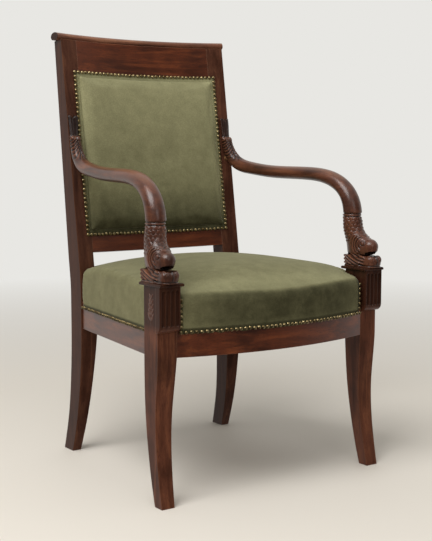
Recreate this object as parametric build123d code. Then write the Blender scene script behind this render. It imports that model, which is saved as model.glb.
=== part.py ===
"""Mahogany armchair with dolphin arms, sabre legs and nailed velvet upholstery.

Units are millimetres. +X is the right side seen from the front, the front faces -Y and +Z is up.
Sizes across the chair are given for the right half, and the left half is its mirror image.
"""
import os
from math import asin, atan, cos, degrees, hypot, radians, sin, sqrt
from typing import NamedTuple

from build123d import *

# Width over the front posts, from which the places across the front are taken
FRONT_WIDTH = 544.0

# Front legs and the posts above the seat rails
POST_WIDTH = 42.0
POST_FRONT_Y = -244.0
POST_DEPTH = 48.0
POST_TOP_Z = 419.0
FRONT_FOOT_WIDTH = 28.0
FRONT_FOOT_DEPTH = 25.0
FRONT_FOOT_KICK = 12.0
FRONT_WAIST_SET_BACK = 9.0
FRONT_ANKLE_SET_BACK = 3.5
FRONT_CALF_SET_IN = 3.5
FRONT_HEEL_SET_IN = 14.0

# Places on the front legs' curves, as shares of the rails' height, and the curves' slopes
FRONT_WAIST = 0.62
FRONT_ANKLE = 0.3
FRONT_CALF = 0.6
FRONT_HEEL = 0.325
FRONT_TOE_SLOPE = 0.2
FRONT_KNEE_SLOPE = -0.05
FRONT_HEEL_SLOPE = -0.3

# Fluted console on the front of each post, flush with its inner face and proud of its outer face
CONSOLE_OUTER_STEP = 4.0
CONSOLE_PROJECTION = 15.0
CONSOLE_BOTTOM_Z = 333.0
CONSOLE_ROOT = 1.0
FLUTE_COUNT = 4
FLUTE_RADIUS = 4.0
FLUTE_GAP = 2.2
FLUTE_MARGIN = 10.0

# Cap moulding under each dolphin
CAP_OVERHANG = 5.5
CAP_REAR_OVERHANG = 9.0
CAP_THICKNESS = 6.0
# Radius of the cap's edges, as a share of its thickness
CAP_EDGE_SHARE = 0.4

# Seat rails
RAIL_BOTTOM_Z = 283.0
RAIL_HEIGHT = 59.0
RAIL_THICKNESS = 28.0
FRONT_RAIL_BOW = 37.0
SIDE_RAIL_FRONT_SET_IN = 10.0
SIDE_RAIL_REAR_SET_IN = 3.0
REAR_RAIL_SET_BACK = 8.0

# Rear stiles, which run down into the rear legs
STILE_OUTER_X = 214.0
STILE_WIDTH = 40.0
STILE_FRONT_Y = 162.0
STILE_SEAT_DEPTH = 46.5
STILE_BEND_DEPTH = 48.0
STILE_TOP_DEPTH = 31.0
STILE_BEND_Z = 444.0
STILE_TOP_Z = 911.0
STILE_BEND_BACK = 8.2
BACK_RAKE = 0.148
REAR_FOOT_WIDTH = 20.0
REAR_FOOT_DEPTH = 39.0
REAR_FOOT_KICK = 48.0
REAR_CALF_SET_BACK = 6.0
REAR_HEEL_SET_BACK = 20.0
STILE_UPRIGHT_ABOVE_RAIL = 10.0
STILE_FACE_BELOW_BEND = 90.0

# Places on the rear legs' curves, as shares of the rails' height and of the kick, and the curves' slopes
REAR_ANKLE = 0.28
REAR_ANKLE_KICK = 0.5
REAR_CALF = 0.57
REAR_CALF_KICK = 0.19
REAR_HEEL = 0.25
REAR_TOE_SLOPE = -0.35
REAR_HEEL_SLOPE = 0.3

# Back frame, curved in plan
BACK_RADIUS = 1050.0
BACK_RAIL_THICKNESS = 22.0
LOWER_RAIL_BOTTOM = 4.0
LOWER_RAIL_HEIGHT = 50.0
CREST_RAIL_HEIGHT = 82.0
ROLL_HEIGHT = 18.0
ROLL_DEPTH = 24.0
ROLL_OVERHANG = 8.0
ROLL_FLAT = 2.0
REBATE_WIDTH = 11.0

# Tenons and glued dowels
TENON_THICKNESS = 9.0
TENON_LENGTH = 20.0
TENON_SHOULDER = 9.0
TENON_SPACING = 6.0
# Place of the front rail's tenon, as a share of the post's depth
FRONT_TENON_SHARE = 0.2
JOINT_CLEARANCE = 0.15
DOWEL_RADIUS = 6.0
DOWEL_LENGTH = 44.0
DOWEL_CLEARANCE = 0.1
DOWEL_END_GAP = 0.6
# Places of two dowels: before the post's rear in radii, and above the collar as a share of the arm's rise
DOLPHIN_DOWEL_RADII = 3
ARM_DOWEL_SHARE = 1.35

# Corner braces inside the seat frame
BRACE_WIDTH = 28.0
BRACE_HEIGHT = 25.0
BRACE_SET_OFF = 75.0

# Arms: the tail stands on the stile and the collar on the dolphin's neck
TAIL_SET_IN = 11.0
TAIL_RISE = 207.0
TAIL_NOTCH_WIDTH = 11.0
TAIL_NOTCH_DEPTH = 8.0
ARM_RISE = 85.0
ARM_HALF_WIDTH = 17.0
ARM_HALF_DEPTH = 14.0
COLLAR_SET_IN = 26.0
COLLAR_Y = -198.0
COLLAR_Z = 537.0
COLLAR_RADIUS = 20.0

# Dolphin head
HEAD_SET_IN = 19.0
HEAD_REACH = 65.5
HEAD_HALF_WIDTH = 20.5
JAW_REACH = 69.0
JAW_LENGTH = 75.0
JAW_HALF_WIDTH = 19.0
JAW_HEIGHT = 22.0
JAW_CORNER = 14.0
# Radius of the jaw's upper edge, as a share of its height
JAW_EDGE_SHARE = 0.4
MOUTH_DEPTH = 28.0
MOUTH_GAP = 5.0
THROAT_HALF_WIDTH = 16.5
FIN_HALF_WIDTH = 22.0
FIN_HEIGHT = 26.0
FIN_LENGTH = 47.0
FIN_LEAN = 2.0
# Curve of the fins' upper edge, as shares of their length and height
FIN_SHOULDER_HEIGHT_SHARE = 0.3
FIN_CURVE_LENGTH_SHARE = 0.45
FIN_CURVE_HEIGHT_SHARE = 0.72

# Upholstery
FIT_GAP = 0.3
COVER_THICKNESS = 2.5
HEM_BELOW_RAIL_TOP = 17.0
SEAT_EDGE_Z = 396.0
SEAT_CROWN_Z = 449.5
SEAT_FRONT_FOLD = 24.0
SEAT_SIDE_FOLD = 32.0
SEAT_MARGIN = 20.0
WEB_WIDTH = 50.0
WEB_THICKNESS = 1.5
WEB_LANDING = 16.0
# Spacing of the straps, in widths of the webbing
SEAT_WEB_PITCH = 2.2
SEAT_CROSS_WEB_PITCH = 2.1
BACK_WEB_PITCH = 2.1
# Spacing of the back's cross straps, as a share of the panel's height
BACK_CROSS_WEB_SHARE = 0.306
HESSIAN_THICKNESS = 1.0
BACK_HEM = 7.5
BACK_LANDING = 3.5
BACK_EDGE = 9.0
BACK_CROWN = 17.0
# Shoulder of the back's pad, as shares of its height and of its crown
BACK_SHOULDER_HEIGHT_SHARE = 0.12
BACK_SHOULDER_CROWN_SHARE = 0.72

# Places worked out from the sizes above
POST_OUTER_X = FRONT_WIDTH / 2
POST_INNER_X = POST_OUTER_X - POST_WIDTH
POST_REAR_Y = POST_FRONT_Y + POST_DEPTH
CONSOLE_FRONT_Y = POST_FRONT_Y - CONSOLE_PROJECTION
CONSOLE_OUTER_X = POST_OUTER_X + CONSOLE_OUTER_STEP
CAP_TOP_Z = POST_TOP_Z + CAP_THICKNESS
RAIL_TOP_Z = RAIL_BOTTOM_Z + RAIL_HEIGHT
STILE_INNER_X = STILE_OUTER_X - STILE_WIDTH
STILE_REAR_Y = STILE_FRONT_Y + STILE_SEAT_DEPTH
STILE_BEND_Y = STILE_FRONT_Y + STILE_BEND_BACK
REAR_RAIL_Y = STILE_FRONT_Y + REAR_RAIL_SET_BACK
SIDE_RAIL_FRONT_X = POST_OUTER_X - SIDE_RAIL_FRONT_SET_IN
SIDE_RAIL_REAR_X = STILE_OUTER_X - SIDE_RAIL_REAR_SET_IN
HEM_BOTTOM_Z = RAIL_TOP_Z - HEM_BELOW_RAIL_TOP
TAIL_X = STILE_OUTER_X - TAIL_SET_IN
COLLAR_X = POST_OUTER_X - COLLAR_SET_IN
HEAD_X = POST_OUTER_X - HEAD_SET_IN
JAW_FRONT_Y = COLLAR_Y - JAW_REACH
JAW_REAR_Y = JAW_FRONT_Y + JAW_LENGTH
MOUTH_Z = CAP_TOP_Z + JAW_HEIGHT + MOUTH_GAP
FRONT_RAIL_RADIUS = (POST_INNER_X**2 + FRONT_RAIL_BOW**2) / (2 * FRONT_RAIL_BOW)
RAKE_ANGLE = atan(BACK_RAKE)
BACK_LENGTH = (STILE_TOP_Z - STILE_BEND_Z) / cos(RAKE_ANGLE)
BACK_CENTRE_Y = -sqrt(BACK_RADIUS**2 - STILE_OUTER_X**2)

# Back frame: its Z runs up the raked stiles and its Y points backwards
BACK_PLANE = Plane(
    origin=(0, STILE_BEND_Y, STILE_BEND_Z),
    x_dir=(1, 0, 0),
    z_dir=(0, sin(RAKE_ANGLE), cos(RAKE_ANGLE)),
)

# Reach of cutting blocks beyond the chair, and how far a cut runs past a face
BIG = 600.0
OVERCUT = 1.0
STILE_OVERCUT = 20.0
REBATE_OVERCUT = 80.0


class Station(NamedTuple):
    """One oval section of an arm: place along it, height, heading below level and half sizes."""

    along: float
    height: float
    heading: float
    half_width: float
    half_depth: float


class Layer(NamedTuple):
    """One level oval of the dolphin: height, front, rear, half width and lean from collar to head."""

    height: float
    front: float
    rear: float
    half_width: float
    lean: float


def box(x0, x1, y0, y1, z0, z1):
    """Block between two corners."""
    block = Box(x1 - x0, y1 - y0, z1 - z0, align=(Align.MIN, Align.MIN, Align.MIN))
    return Pos(x0, y0, z0) * block


def prism(edges, z0, z1):
    """Plan outline extruded from z0 to z1."""
    return extrude(Pos(0, 0, z0) * make_face(edges), amount=z1 - z0)


def polygon(*points):
    """Closed outline through the points."""
    return Polyline(*points, close=True)


def side_solid(edges, x0, x1):
    """Side outline, drawn in Y and Z, extruded from x0 to x1."""
    return extrude(Plane.YZ.offset(x0) * make_face(edges), amount=x1 - x0)


def mirrored(part):
    """The same piece on the left side."""
    return mirror(part, about=Plane.YZ)


def grown(x0, x1, y0, y1, z0, z1, depth_axis):
    """Mortise round a tenon: clearance on its sides and room past its end."""
    c = JOINT_CLEARANCE
    ends = {"x": (DOWEL_END_GAP, c, c), "y": (c, DOWEL_END_GAP, c)}[depth_axis]
    return box(x0 - ends[0], x1 + ends[0], y0 - ends[1], y1 + ends[1], z0 - c, z1 + c)


# Tenon blocks, as corners: x0, x1, y0, y1, z0, z1
def front_rail_tenon():
    """Right tenon of the front rail, set near the post's front."""
    y0 = POST_FRONT_Y + FRONT_TENON_SHARE * POST_DEPTH
    z0 = RAIL_BOTTOM_Z + TENON_SHOULDER
    z1 = RAIL_TOP_Z - TENON_SHOULDER
    return POST_INNER_X, POST_INNER_X + TENON_LENGTH, y0, y0 + TENON_THICKNESS, z0, z1


def side_rail_tenon(front):
    """Front or rear tenon of the right side rail."""
    z0 = RAIL_BOTTOM_Z + TENON_SHOULDER
    z1 = RAIL_TOP_Z - TENON_SHOULDER
    x1 = (SIDE_RAIL_FRONT_X if front else SIDE_RAIL_REAR_X) - TENON_SHOULDER
    x0 = x1 - TENON_THICKNESS
    if front:
        return x0, x1, POST_REAR_Y - TENON_LENGTH, POST_REAR_Y, z0, z1
    return x0, x1, STILE_FRONT_Y, STILE_FRONT_Y + TENON_LENGTH, z0, z1


def rear_rail_tenon():
    """Right tenon of the rear rail, behind the side rail's tenon."""
    y0 = STILE_FRONT_Y + TENON_LENGTH + TENON_SPACING
    z0 = RAIL_BOTTOM_Z + TENON_SHOULDER
    z1 = RAIL_TOP_Z - TENON_SHOULDER
    return STILE_INNER_X, STILE_INNER_X + TENON_LENGTH, y0, y0 + TENON_THICKNESS, z0, z1


def front_leg():
    """Sabre leg, post and fluted console, cut from one piece."""
    foot_y = POST_FRONT_Y - FRONT_FOOT_KICK
    waist_y = POST_FRONT_Y + FRONT_WAIST_SET_BACK
    front = Spline(
        (foot_y, 0),
        (POST_FRONT_Y + FRONT_ANKLE_SET_BACK, FRONT_ANKLE * RAIL_BOTTOM_Z),
        (waist_y, FRONT_WAIST * RAIL_BOTTOM_Z),
        (POST_FRONT_Y, RAIL_BOTTOM_Z),
        tangents=[(FRONT_TOE_SLOPE, 1), (FRONT_KNEE_SLOPE, 1)],
    )
    rear = Spline(
        (POST_REAR_Y, RAIL_BOTTOM_Z),
        (POST_REAR_Y - FRONT_CALF_SET_IN, FRONT_CALF * RAIL_BOTTOM_Z),
        (POST_REAR_Y - FRONT_HEEL_SET_IN, FRONT_HEEL * RAIL_BOTTOM_Z),
        (foot_y + FRONT_FOOT_DEPTH, 0),
        tangents=[(0, -1), (FRONT_HEEL_SLOPE, -1)],
    )
    top = Polyline(
        (POST_FRONT_Y, RAIL_BOTTOM_Z),
        (POST_FRONT_Y, POST_TOP_Z),
        (POST_REAR_Y, POST_TOP_Z),
        (POST_REAR_Y, RAIL_BOTTOM_Z),
    )
    sole = Line((foot_y + FRONT_FOOT_DEPTH, 0), (foot_y, 0))
    leg = side_solid([front, top, rear, sole], POST_INNER_X, POST_OUTER_X)
    leg -= inner_taper(POST_INNER_X, POST_OUTER_X - FRONT_FOOT_WIDTH)
    leg += console()
    leg -= flutes()
    leg -= grown(*front_rail_tenon(), "x")
    leg -= grown(*side_rail_tenon(front=True), "y")
    return leg - dolphin_dowel(DOWEL_CLEARANCE)


def inner_taper(top_x, foot_x):
    """Wedge that narrows a leg on its inner side, from the rails down to the foot."""
    wedge = polygon(
        (top_x, RAIL_BOTTOM_Z),
        (foot_x, 0),
        (foot_x, -OVERCUT),
        (top_x - OVERCUT, -OVERCUT),
        (top_x - OVERCUT, RAIL_BOTTOM_Z),
    )
    return Pos(0, BIG, 0) * extrude(Plane.XZ * make_face(wedge), amount=2 * BIG)


def console():
    """Tongue on the front of the post, rounded below."""
    back_y = POST_FRONT_Y + CONSOLE_ROOT
    low = (POST_FRONT_Y, CONSOLE_BOTTOM_Z)
    round_end = (CONSOLE_FRONT_Y, CONSOLE_BOTTOM_Z + CONSOLE_PROJECTION)
    root = (back_y, CONSOLE_BOTTOM_Z)
    side = [
        Line(root, low),
        TangentArc(low, round_end, tangent=(-1, 0)),
        Polyline(round_end, (CONSOLE_FRONT_Y, POST_TOP_Z), (back_y, POST_TOP_Z), root),
    ]
    tongue = side_solid(side, POST_INNER_X, CONSOLE_OUTER_X)
    corners = tongue.edges().filter_by(Axis.Z).group_by(Axis.Y)[0]
    return fillet(corners, FLUTE_GAP)


def flutes():
    """Upright hollows along the console, with round ends."""
    pitch = 2 * FLUTE_RADIUS + FLUTE_GAP
    middle = (POST_INNER_X + CONSOLE_OUTER_X) / 2
    bottom = CONSOLE_BOTTOM_Z + CONSOLE_PROJECTION
    top = POST_TOP_Z - FLUTE_MARGIN
    first = middle - pitch * (FLUTE_COUNT - 1) / 2
    shaft = Cylinder(FLUTE_RADIUS, top - bottom, align=(Align.CENTER, Align.CENTER, Align.MIN))
    hollow = Pos(0, 0, bottom) * shaft
    hollow += Pos(0, 0, bottom) * Sphere(FLUTE_RADIUS)
    hollow += Pos(0, 0, top) * Sphere(FLUTE_RADIUS)
    return [Pos(first + i * pitch, CONSOLE_FRONT_Y, 0) * hollow for i in range(FLUTE_COUNT)]


def block_cap():
    """Cap moulding on the post, with rounded edges."""
    cap = box(
        POST_INNER_X - CAP_OVERHANG,
        POST_OUTER_X + CAP_OVERHANG,
        CONSOLE_FRONT_Y - CAP_OVERHANG / 2,
        POST_REAR_Y + CAP_REAR_OVERHANG,
        POST_TOP_Z,
        CAP_TOP_Z,
    )
    rims = cap.edges().filter_by(Axis.Z, reverse=True)
    return fillet(rims, CAP_EDGE_SHARE * CAP_THICKNESS) - dolphin_dowel(DOWEL_CLEARANCE)


def back_arc_y(x, radius=BACK_RADIUS):
    """Depth of the curved back at x, in the back frame."""
    return BACK_CENTRE_Y + sqrt(radius**2 - x**2)


def back_slab(x0, x1, r0, r1, z0, z1):
    """Curved board of the back between two radii, two sides and two heights."""
    xm = (x0 + x1) / 2
    outline = [
        ThreePointArc((x0, back_arc_y(x0, r0)), (xm, back_arc_y(xm, r0)), (x1, back_arc_y(x1, r0))),
        Line((x1, back_arc_y(x1, r0)), (x1, back_arc_y(x1, r1))),
        ThreePointArc((x1, back_arc_y(x1, r1)), (xm, back_arc_y(xm, r1)), (x0, back_arc_y(x0, r1))),
        Line((x0, back_arc_y(x0, r1)), (x0, back_arc_y(x0, r0))),
    ]
    return BACK_PLANE * prism(outline, z0, z1)


def back_tenon(z0, z1, clearance=0.0):
    """Right tenon of a back rail, in the stile; a clearance makes its mortise."""
    x0 = STILE_INNER_X - (OVERCUT if clearance else 0.0)
    x1 = STILE_INNER_X + TENON_LENGTH + (DOWEL_END_GAP if clearance else 0.0)
    y0 = back_arc_y(STILE_INNER_X) + (BACK_RAIL_THICKNESS - TENON_THICKNESS) / 2
    return BACK_PLANE * box(
        x0,
        x1,
        y0 - clearance,
        y0 + TENON_THICKNESS + clearance,
        z0 + TENON_SHOULDER - clearance,
        z1 - TENON_SHOULDER + clearance,
    )


def lower_rail_span():
    """Bottom and top of the lower back rail, in the back frame."""
    return LOWER_RAIL_BOTTOM, LOWER_RAIL_BOTTOM + LOWER_RAIL_HEIGHT


def crest_rail_span():
    """Bottom and top of the crest rail, in the back frame."""
    return BACK_LENGTH - CREST_RAIL_HEIGHT, BACK_LENGTH


def back_rail(span):
    """Curved rail between the stiles, with its two tenons."""
    rear_r = BACK_RADIUS + BACK_RAIL_THICKNESS
    rail = back_slab(-STILE_INNER_X, STILE_INNER_X, BACK_RADIUS, rear_r, *span)
    tenon = back_tenon(*span)
    return rail + tenon + mirrored(tenon)


def stile_face():
    """Plane of the right stile's front face, its Z pointing forwards out of the wood."""
    inner_y = back_arc_y(STILE_INNER_X)
    outer = BACK_PLANE.from_local_coords((STILE_OUTER_X, 0, 0))
    inner = BACK_PLANE.from_local_coords((STILE_INNER_X, inner_y, 0))
    across = Vector(*outer) - Vector(*inner)
    up = BACK_PLANE.z_dir
    return Plane(origin=tuple(outer), x_dir=across, z_dir=across.cross(up))


def face_block(front):
    """Large block before the stile's front face, from below its bend upwards, or behind that face."""
    if front:
        return stile_face() * box(-BIG, BIG, -STILE_FACE_BELOW_BEND, BIG, 0, BIG)
    return stile_face() * box(-BIG, BIG, -BIG, BIG, -BIG, 0)


def rear_stile():
    """Rear leg and back stile in one sweep: sabre foot, upright at the seat, raked above."""
    foot_front = STILE_FRONT_Y + REAR_FOOT_KICK
    bend_rear = STILE_BEND_Y + STILE_BEND_DEPTH
    top_front = STILE_BEND_Y + BACK_RAKE * (STILE_TOP_Z - STILE_BEND_Z)
    seat_z = RAIL_TOP_Z + STILE_UPRIGHT_ABOVE_RAIL
    slope = (top_front + STILE_TOP_DEPTH - bend_rear) / (STILE_TOP_Z - STILE_BEND_Z)
    over = STILE_OVERCUT
    front = [
        Spline(
            (foot_front, 0),
            (STILE_FRONT_Y + REAR_ANKLE_KICK * REAR_FOOT_KICK, REAR_ANKLE * RAIL_BOTTOM_Z),
            (STILE_FRONT_Y + REAR_CALF_KICK * REAR_FOOT_KICK, REAR_CALF * RAIL_BOTTOM_Z),
            (STILE_FRONT_Y, RAIL_BOTTOM_Z),
            tangents=[(REAR_TOE_SLOPE, 1), (0, 1)],
        ),
        Line((STILE_FRONT_Y, RAIL_BOTTOM_Z), (STILE_FRONT_Y, seat_z)),
        Spline(
            (STILE_FRONT_Y, seat_z),
            (STILE_BEND_Y, STILE_BEND_Z),
            tangents=[(0, 1), (BACK_RAKE, 1)],
        ),
        Line((STILE_BEND_Y, STILE_BEND_Z), (top_front + over * BACK_RAKE, STILE_TOP_Z + over)),
    ]
    rear_top = (top_front + STILE_TOP_DEPTH + over * slope, STILE_TOP_Z + over)
    rear = [
        Line(rear_top, (bend_rear, STILE_BEND_Z)),
        Spline((bend_rear, STILE_BEND_Z), (STILE_REAR_Y, seat_z), tangents=[(-slope, -1), (0, -1)]),
        Line((STILE_REAR_Y, seat_z), (STILE_REAR_Y, RAIL_BOTTOM_Z)),
        Spline(
            (STILE_REAR_Y, RAIL_BOTTOM_Z),
            (STILE_REAR_Y + REAR_CALF_SET_BACK, REAR_CALF * RAIL_BOTTOM_Z),
            (STILE_REAR_Y + REAR_HEEL_SET_BACK, REAR_HEEL * RAIL_BOTTOM_Z),
            (foot_front + REAR_FOOT_DEPTH, 0),
            tangents=[(0, -1), (REAR_HEEL_SLOPE, -1)],
        ),
    ]
    top = Line((top_front + over * BACK_RAKE, STILE_TOP_Z + over), rear_top)
    sole = Line((foot_front + REAR_FOOT_DEPTH, 0), (foot_front, 0))
    stile = side_solid([*front, top, *rear, sole], STILE_INNER_X, STILE_OUTER_X)
    stile -= inner_taper(STILE_INNER_X, STILE_OUTER_X - REAR_FOOT_WIDTH)
    stile -= face_block(front=True)
    stile -= BACK_PLANE * box(-BIG, BIG, -BIG, BIG, BACK_LENGTH, BIG + BACK_LENGTH)
    stile -= grown(*side_rail_tenon(front=False), "y")
    stile -= grown(*rear_rail_tenon(), "x")
    stile -= back_tenon(*lower_rail_span(), JOINT_CLEARANCE)
    stile -= back_tenon(*crest_rail_span(), JOINT_CLEARANCE)
    stile -= rear_rebate()
    return stile - arm_dowel(DOWEL_CLEARANCE)


def rear_rebate():
    """Rebate in the stile's rear inner corner, where the outer cover is nailed."""
    floor = BACK_RADIUS + BACK_RAIL_THICKNESS
    z0, z1 = outer_cover_span()
    inner = STILE_INNER_X - OVERCUT
    return back_slab(inner, STILE_INNER_X + REBATE_WIDTH, floor, floor + REBATE_OVERCUT, z0, z1)


def crest_roll():
    """Oval moulding along the top of the back, bent to its curve and flat where it is glued on."""
    centre_r = BACK_RADIUS + STILE_TOP_DEPTH / 2
    middle_z = BACK_LENGTH + ROLL_HEIGHT / 2 - ROLL_FLAT
    swing = degrees(asin((STILE_OUTER_X + ROLL_OVERHANG) / centre_r))
    oval = Ellipse(ROLL_DEPTH / 2, ROLL_HEIGHT / 2)
    section = Plane.YZ * (Pos(BACK_CENTRE_Y + centre_r, middle_z) * oval)
    axis = Axis((0, BACK_CENTRE_Y, 0), (0, 0, 1))
    half = revolve(section, axis, swing)
    roll = half + mirrored(half)
    roll -= box(-BIG, BIG, -BIG, BIG, BACK_LENGTH - BIG, BACK_LENGTH)
    return BACK_PLANE * roll


def front_rail():
    """Bowed front rail with its two tenons."""
    def edge(set_back):
        x = POST_INNER_X
        y = POST_FRONT_Y + set_back
        return (-x, y), (0, y - FRONT_RAIL_BOW), (x, y)

    outer = edge(0)
    inner = edge(RAIL_THICKNESS)
    outline = [
        ThreePointArc(*outer),
        Line(outer[2], inner[2]),
        ThreePointArc(*reversed(inner)),
        Line(inner[0], outer[0]),
    ]
    tenon = box(*front_rail_tenon())
    return prism(outline, RAIL_BOTTOM_Z, RAIL_TOP_Z) + tenon + mirrored(tenon)


def side_rail():
    """Splayed right rail from the post to the stile."""
    outline = polygon(
        (SIDE_RAIL_FRONT_X, POST_REAR_Y),
        (SIDE_RAIL_REAR_X, STILE_FRONT_Y),
        (SIDE_RAIL_REAR_X - RAIL_THICKNESS, STILE_FRONT_Y),
        (SIDE_RAIL_FRONT_X - RAIL_THICKNESS, POST_REAR_Y),
    )
    rail = prism(outline, RAIL_BOTTOM_Z, RAIL_TOP_Z)
    return rail + box(*side_rail_tenon(front=True)) + box(*side_rail_tenon(front=False))


def rear_rail():
    """Straight rail between the stiles."""
    y1 = REAR_RAIL_Y + RAIL_THICKNESS
    rail = box(-STILE_INNER_X, STILE_INNER_X, REAR_RAIL_Y, y1, RAIL_BOTTOM_Z, RAIL_TOP_Z)
    tenon = box(*rear_rail_tenon())
    return rail + tenon + mirrored(tenon)


def front_arc_y(x, set_back=0.0):
    """Depth of the front rail's curve at x."""
    drop = FRONT_RAIL_RADIUS - sqrt(FRONT_RAIL_RADIUS**2 - x**2)
    return POST_FRONT_Y - FRONT_RAIL_BOW + drop + set_back


def side_rail_x(y, set_in=0.0):
    """Outer face of the right side rail at y."""
    run = (y - POST_REAR_Y) / (STILE_FRONT_Y - POST_REAR_Y)
    return SIDE_RAIL_FRONT_X + run * (SIDE_RAIL_REAR_X - SIDE_RAIL_FRONT_X) - set_in


def corner_brace(front):
    """Glued brace across the right front or right rear corner of the seat frame."""
    far = BRACE_SET_OFF + BRACE_WIDTH
    if front:
        xs = (POST_INNER_X - BRACE_SET_OFF, POST_INNER_X - far)
        ys = tuple(POST_REAR_Y + reach - RAIL_THICKNESS for reach in (BRACE_SET_OFF, far))
        ends = [(x, front_arc_y(x, RAIL_THICKNESS)) for x in xs]
    else:
        xs = (STILE_INNER_X - BRACE_SET_OFF, STILE_INNER_X - far)
        ys = tuple(STILE_FRONT_Y - reach + RAIL_THICKNESS for reach in (BRACE_SET_OFF, far))
        ends = [(x, REAR_RAIL_Y) for x in xs]
    sides = [(side_rail_x(y, RAIL_THICKNESS), y) for y in ys]
    z0 = RAIL_BOTTOM_Z + (RAIL_HEIGHT - BRACE_HEIGHT) / 2
    return prism(polygon(ends[0], sides[0], sides[1], ends[1]), z0, z0 + BRACE_HEIGHT)


def arm_run():
    """Start, direction and length of the arm in plan, from the stile's face to the collar."""
    start_y = STILE_BEND_Y + BACK_RAKE * (COLLAR_Z + ARM_RISE - STILE_BEND_Z)
    dx = COLLAR_X - TAIL_X
    dy = COLLAR_Y - start_y
    length = hypot(dx, dy)
    return start_y, (dx / length, dy / length), length


def arm_stations():
    """Ovals down the dolphin's body: tail on the stile, S-bend, level arm, shoulder, collar."""
    length = arm_run()[2]
    shares = [
        (-0.030, TAIL_RISE, 90, 0.70, 0.60),
        (-0.019, 0.80 * TAIL_RISE, 87, 0.62, 0.76),
        (0.015, 0.61 * TAIL_RISE, 66, 0.72, 1.03),
        (0.080, 1.22 * ARM_RISE, 33, 0.85, 1.06),
        (0.210, 1.07 * ARM_RISE, 11, 0.94, 1.02),
        (0.350, ARM_RISE, 5, 0.97, 1.00),
        (0.660, 0.96 * ARM_RISE, 3, 1.03, 1.03),
        (0.800, 0.895 * ARM_RISE, 14, 1.06, 1.09),
        (0.893, 0.745 * ARM_RISE, 34, 1.09, 1.18),
        (0.960, 0.494 * ARM_RISE, 62, 1.13, 1.28),
        (0.990, 0.235 * ARM_RISE, 80, 1.16, 1.38),
    ]
    stations = [
        Station(along * length, COLLAR_Z + rise, heading, wide * ARM_HALF_WIDTH, deep * ARM_HALF_DEPTH)
        for along, rise, heading, wide, deep in shares
    ]
    return [*stations, Station(length, COLLAR_Z, 90, COLLAR_RADIUS, COLLAR_RADIUS)]


def arm():
    """Right arm from the forked tail on the stile to the collar above the dolphin's neck."""
    start_y, (dx, dy), _ = arm_run()
    across = Vector(-dy, dx, 0)
    sections = []
    for station in arm_stations():
        place = (TAIL_X + dx * station.along, start_y + dy * station.along, station.height)
        turn = radians(station.heading)
        heading = Vector(dx * cos(turn), dy * cos(turn), -sin(turn))
        oval = Ellipse(station.half_width, station.half_depth)
        sections.append(Plane(origin=place, x_dir=across, z_dir=heading) * oval)
    body = loft(sections)
    body -= face_block(front=False)
    body -= tail_notch()
    return body - arm_dowel(DOWEL_CLEARANCE) - collar_dowel(DOWEL_CLEARANCE)


def tail_notch():
    """V between the two flukes of the tail."""
    top = arm_stations()[0].height + OVERCUT
    half = TAIL_NOTCH_WIDTH / 2
    notch = polygon((TAIL_X - half, top), (TAIL_X, top - TAIL_NOTCH_DEPTH), (TAIL_X + half, top))
    return Pos(0, BIG, 0) * extrude(Plane.XZ * make_face(notch), amount=2 * BIG)


def dowel(plane, clearance):
    """Round dowel centred on a plane, or the hole for it when given a clearance."""
    length = DOWEL_LENGTH + (2 * DOWEL_END_GAP if clearance else 0.0)
    return plane * Cylinder(DOWEL_RADIUS + clearance, length)


def arm_dowel(clearance=0.0):
    """Dowel from the stile into the arm, square to the stile's face."""
    rise = (COLLAR_Z + ARM_DOWEL_SHARE * ARM_RISE - STILE_BEND_Z) / cos(RAKE_ANGLE)
    face = stile_face()
    across = (TAIL_X - STILE_OUTER_X) / face.x_dir.X
    return dowel(Plane(face.from_local_coords((across, rise, 0)), face.x_dir, face.z_dir), clearance)


def collar_dowel(clearance=0.0):
    """Upright dowel that joins the arm to the dolphin's neck."""
    return dowel(Plane((COLLAR_X, COLLAR_Y, COLLAR_Z)), clearance)


def dolphin_dowel(clearance=0.0):
    """Upright dowel from the post through the cap into the dolphin."""
    return dowel(Plane((HEAD_X, POST_REAR_Y - DOLPHIN_DOWEL_RADII * DOWEL_RADIUS, CAP_TOP_Z)), clearance)


def dolphin_layers():
    """Level ovals from the collar down the scaled neck to the round forehead and upper lip."""
    shares = [
        (1.00, 0.000, 0.0, COLLAR_RADIUS, 0.0),
        (0.80, 0.010, 0.5, COLLAR_RADIUS, 0.1),
        (0.62, 0.055, 1.0, HEAD_HALF_WIDTH, 0.3),
        (0.50, 0.220, 1.0, HEAD_HALF_WIDTH, 0.5),
        (0.40, 0.480, 0.5, HEAD_HALF_WIDTH, 0.7),
        (0.29, 0.810, 0.0, HEAD_HALF_WIDTH, 0.9),
        (0.18, 1.000, -1.0, HEAD_HALF_WIDTH, 1.0),
        (0.07, 0.980, -2.0, 0.95 * HEAD_HALF_WIDTH, 1.0),
        (0.00, 0.850, -3.0, 0.88 * HEAD_HALF_WIDTH, 1.0),
    ]
    rise = COLLAR_Z - MOUTH_Z
    bulge = HEAD_REACH - COLLAR_RADIUS
    return [
        Layer(
            MOUTH_Z + up * rise,
            COLLAR_Y - COLLAR_RADIUS - ahead * bulge,
            COLLAR_Y + COLLAR_RADIUS + behind,
            half_width,
            lean,
        )
        for up, ahead, behind, half_width, lean in shares
    ]


def dolphin():
    """Dolphin's neck, head with an open mouth, lower jaw and side fins."""
    ovals = []
    for layer in dolphin_layers():
        half = (layer.rear - layer.front) / 2
        x = COLLAR_X + layer.lean * (HEAD_X - COLLAR_X)
        centre = Pos(x, layer.front + half, layer.height)
        ovals.append(centre * Ellipse(layer.half_width, half))
    body = loft(ovals) + lower_jaw() + throat() + fins()
    return body - collar_dowel(DOWEL_CLEARANCE) - dolphin_dowel(DOWEL_CLEARANCE)


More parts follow.
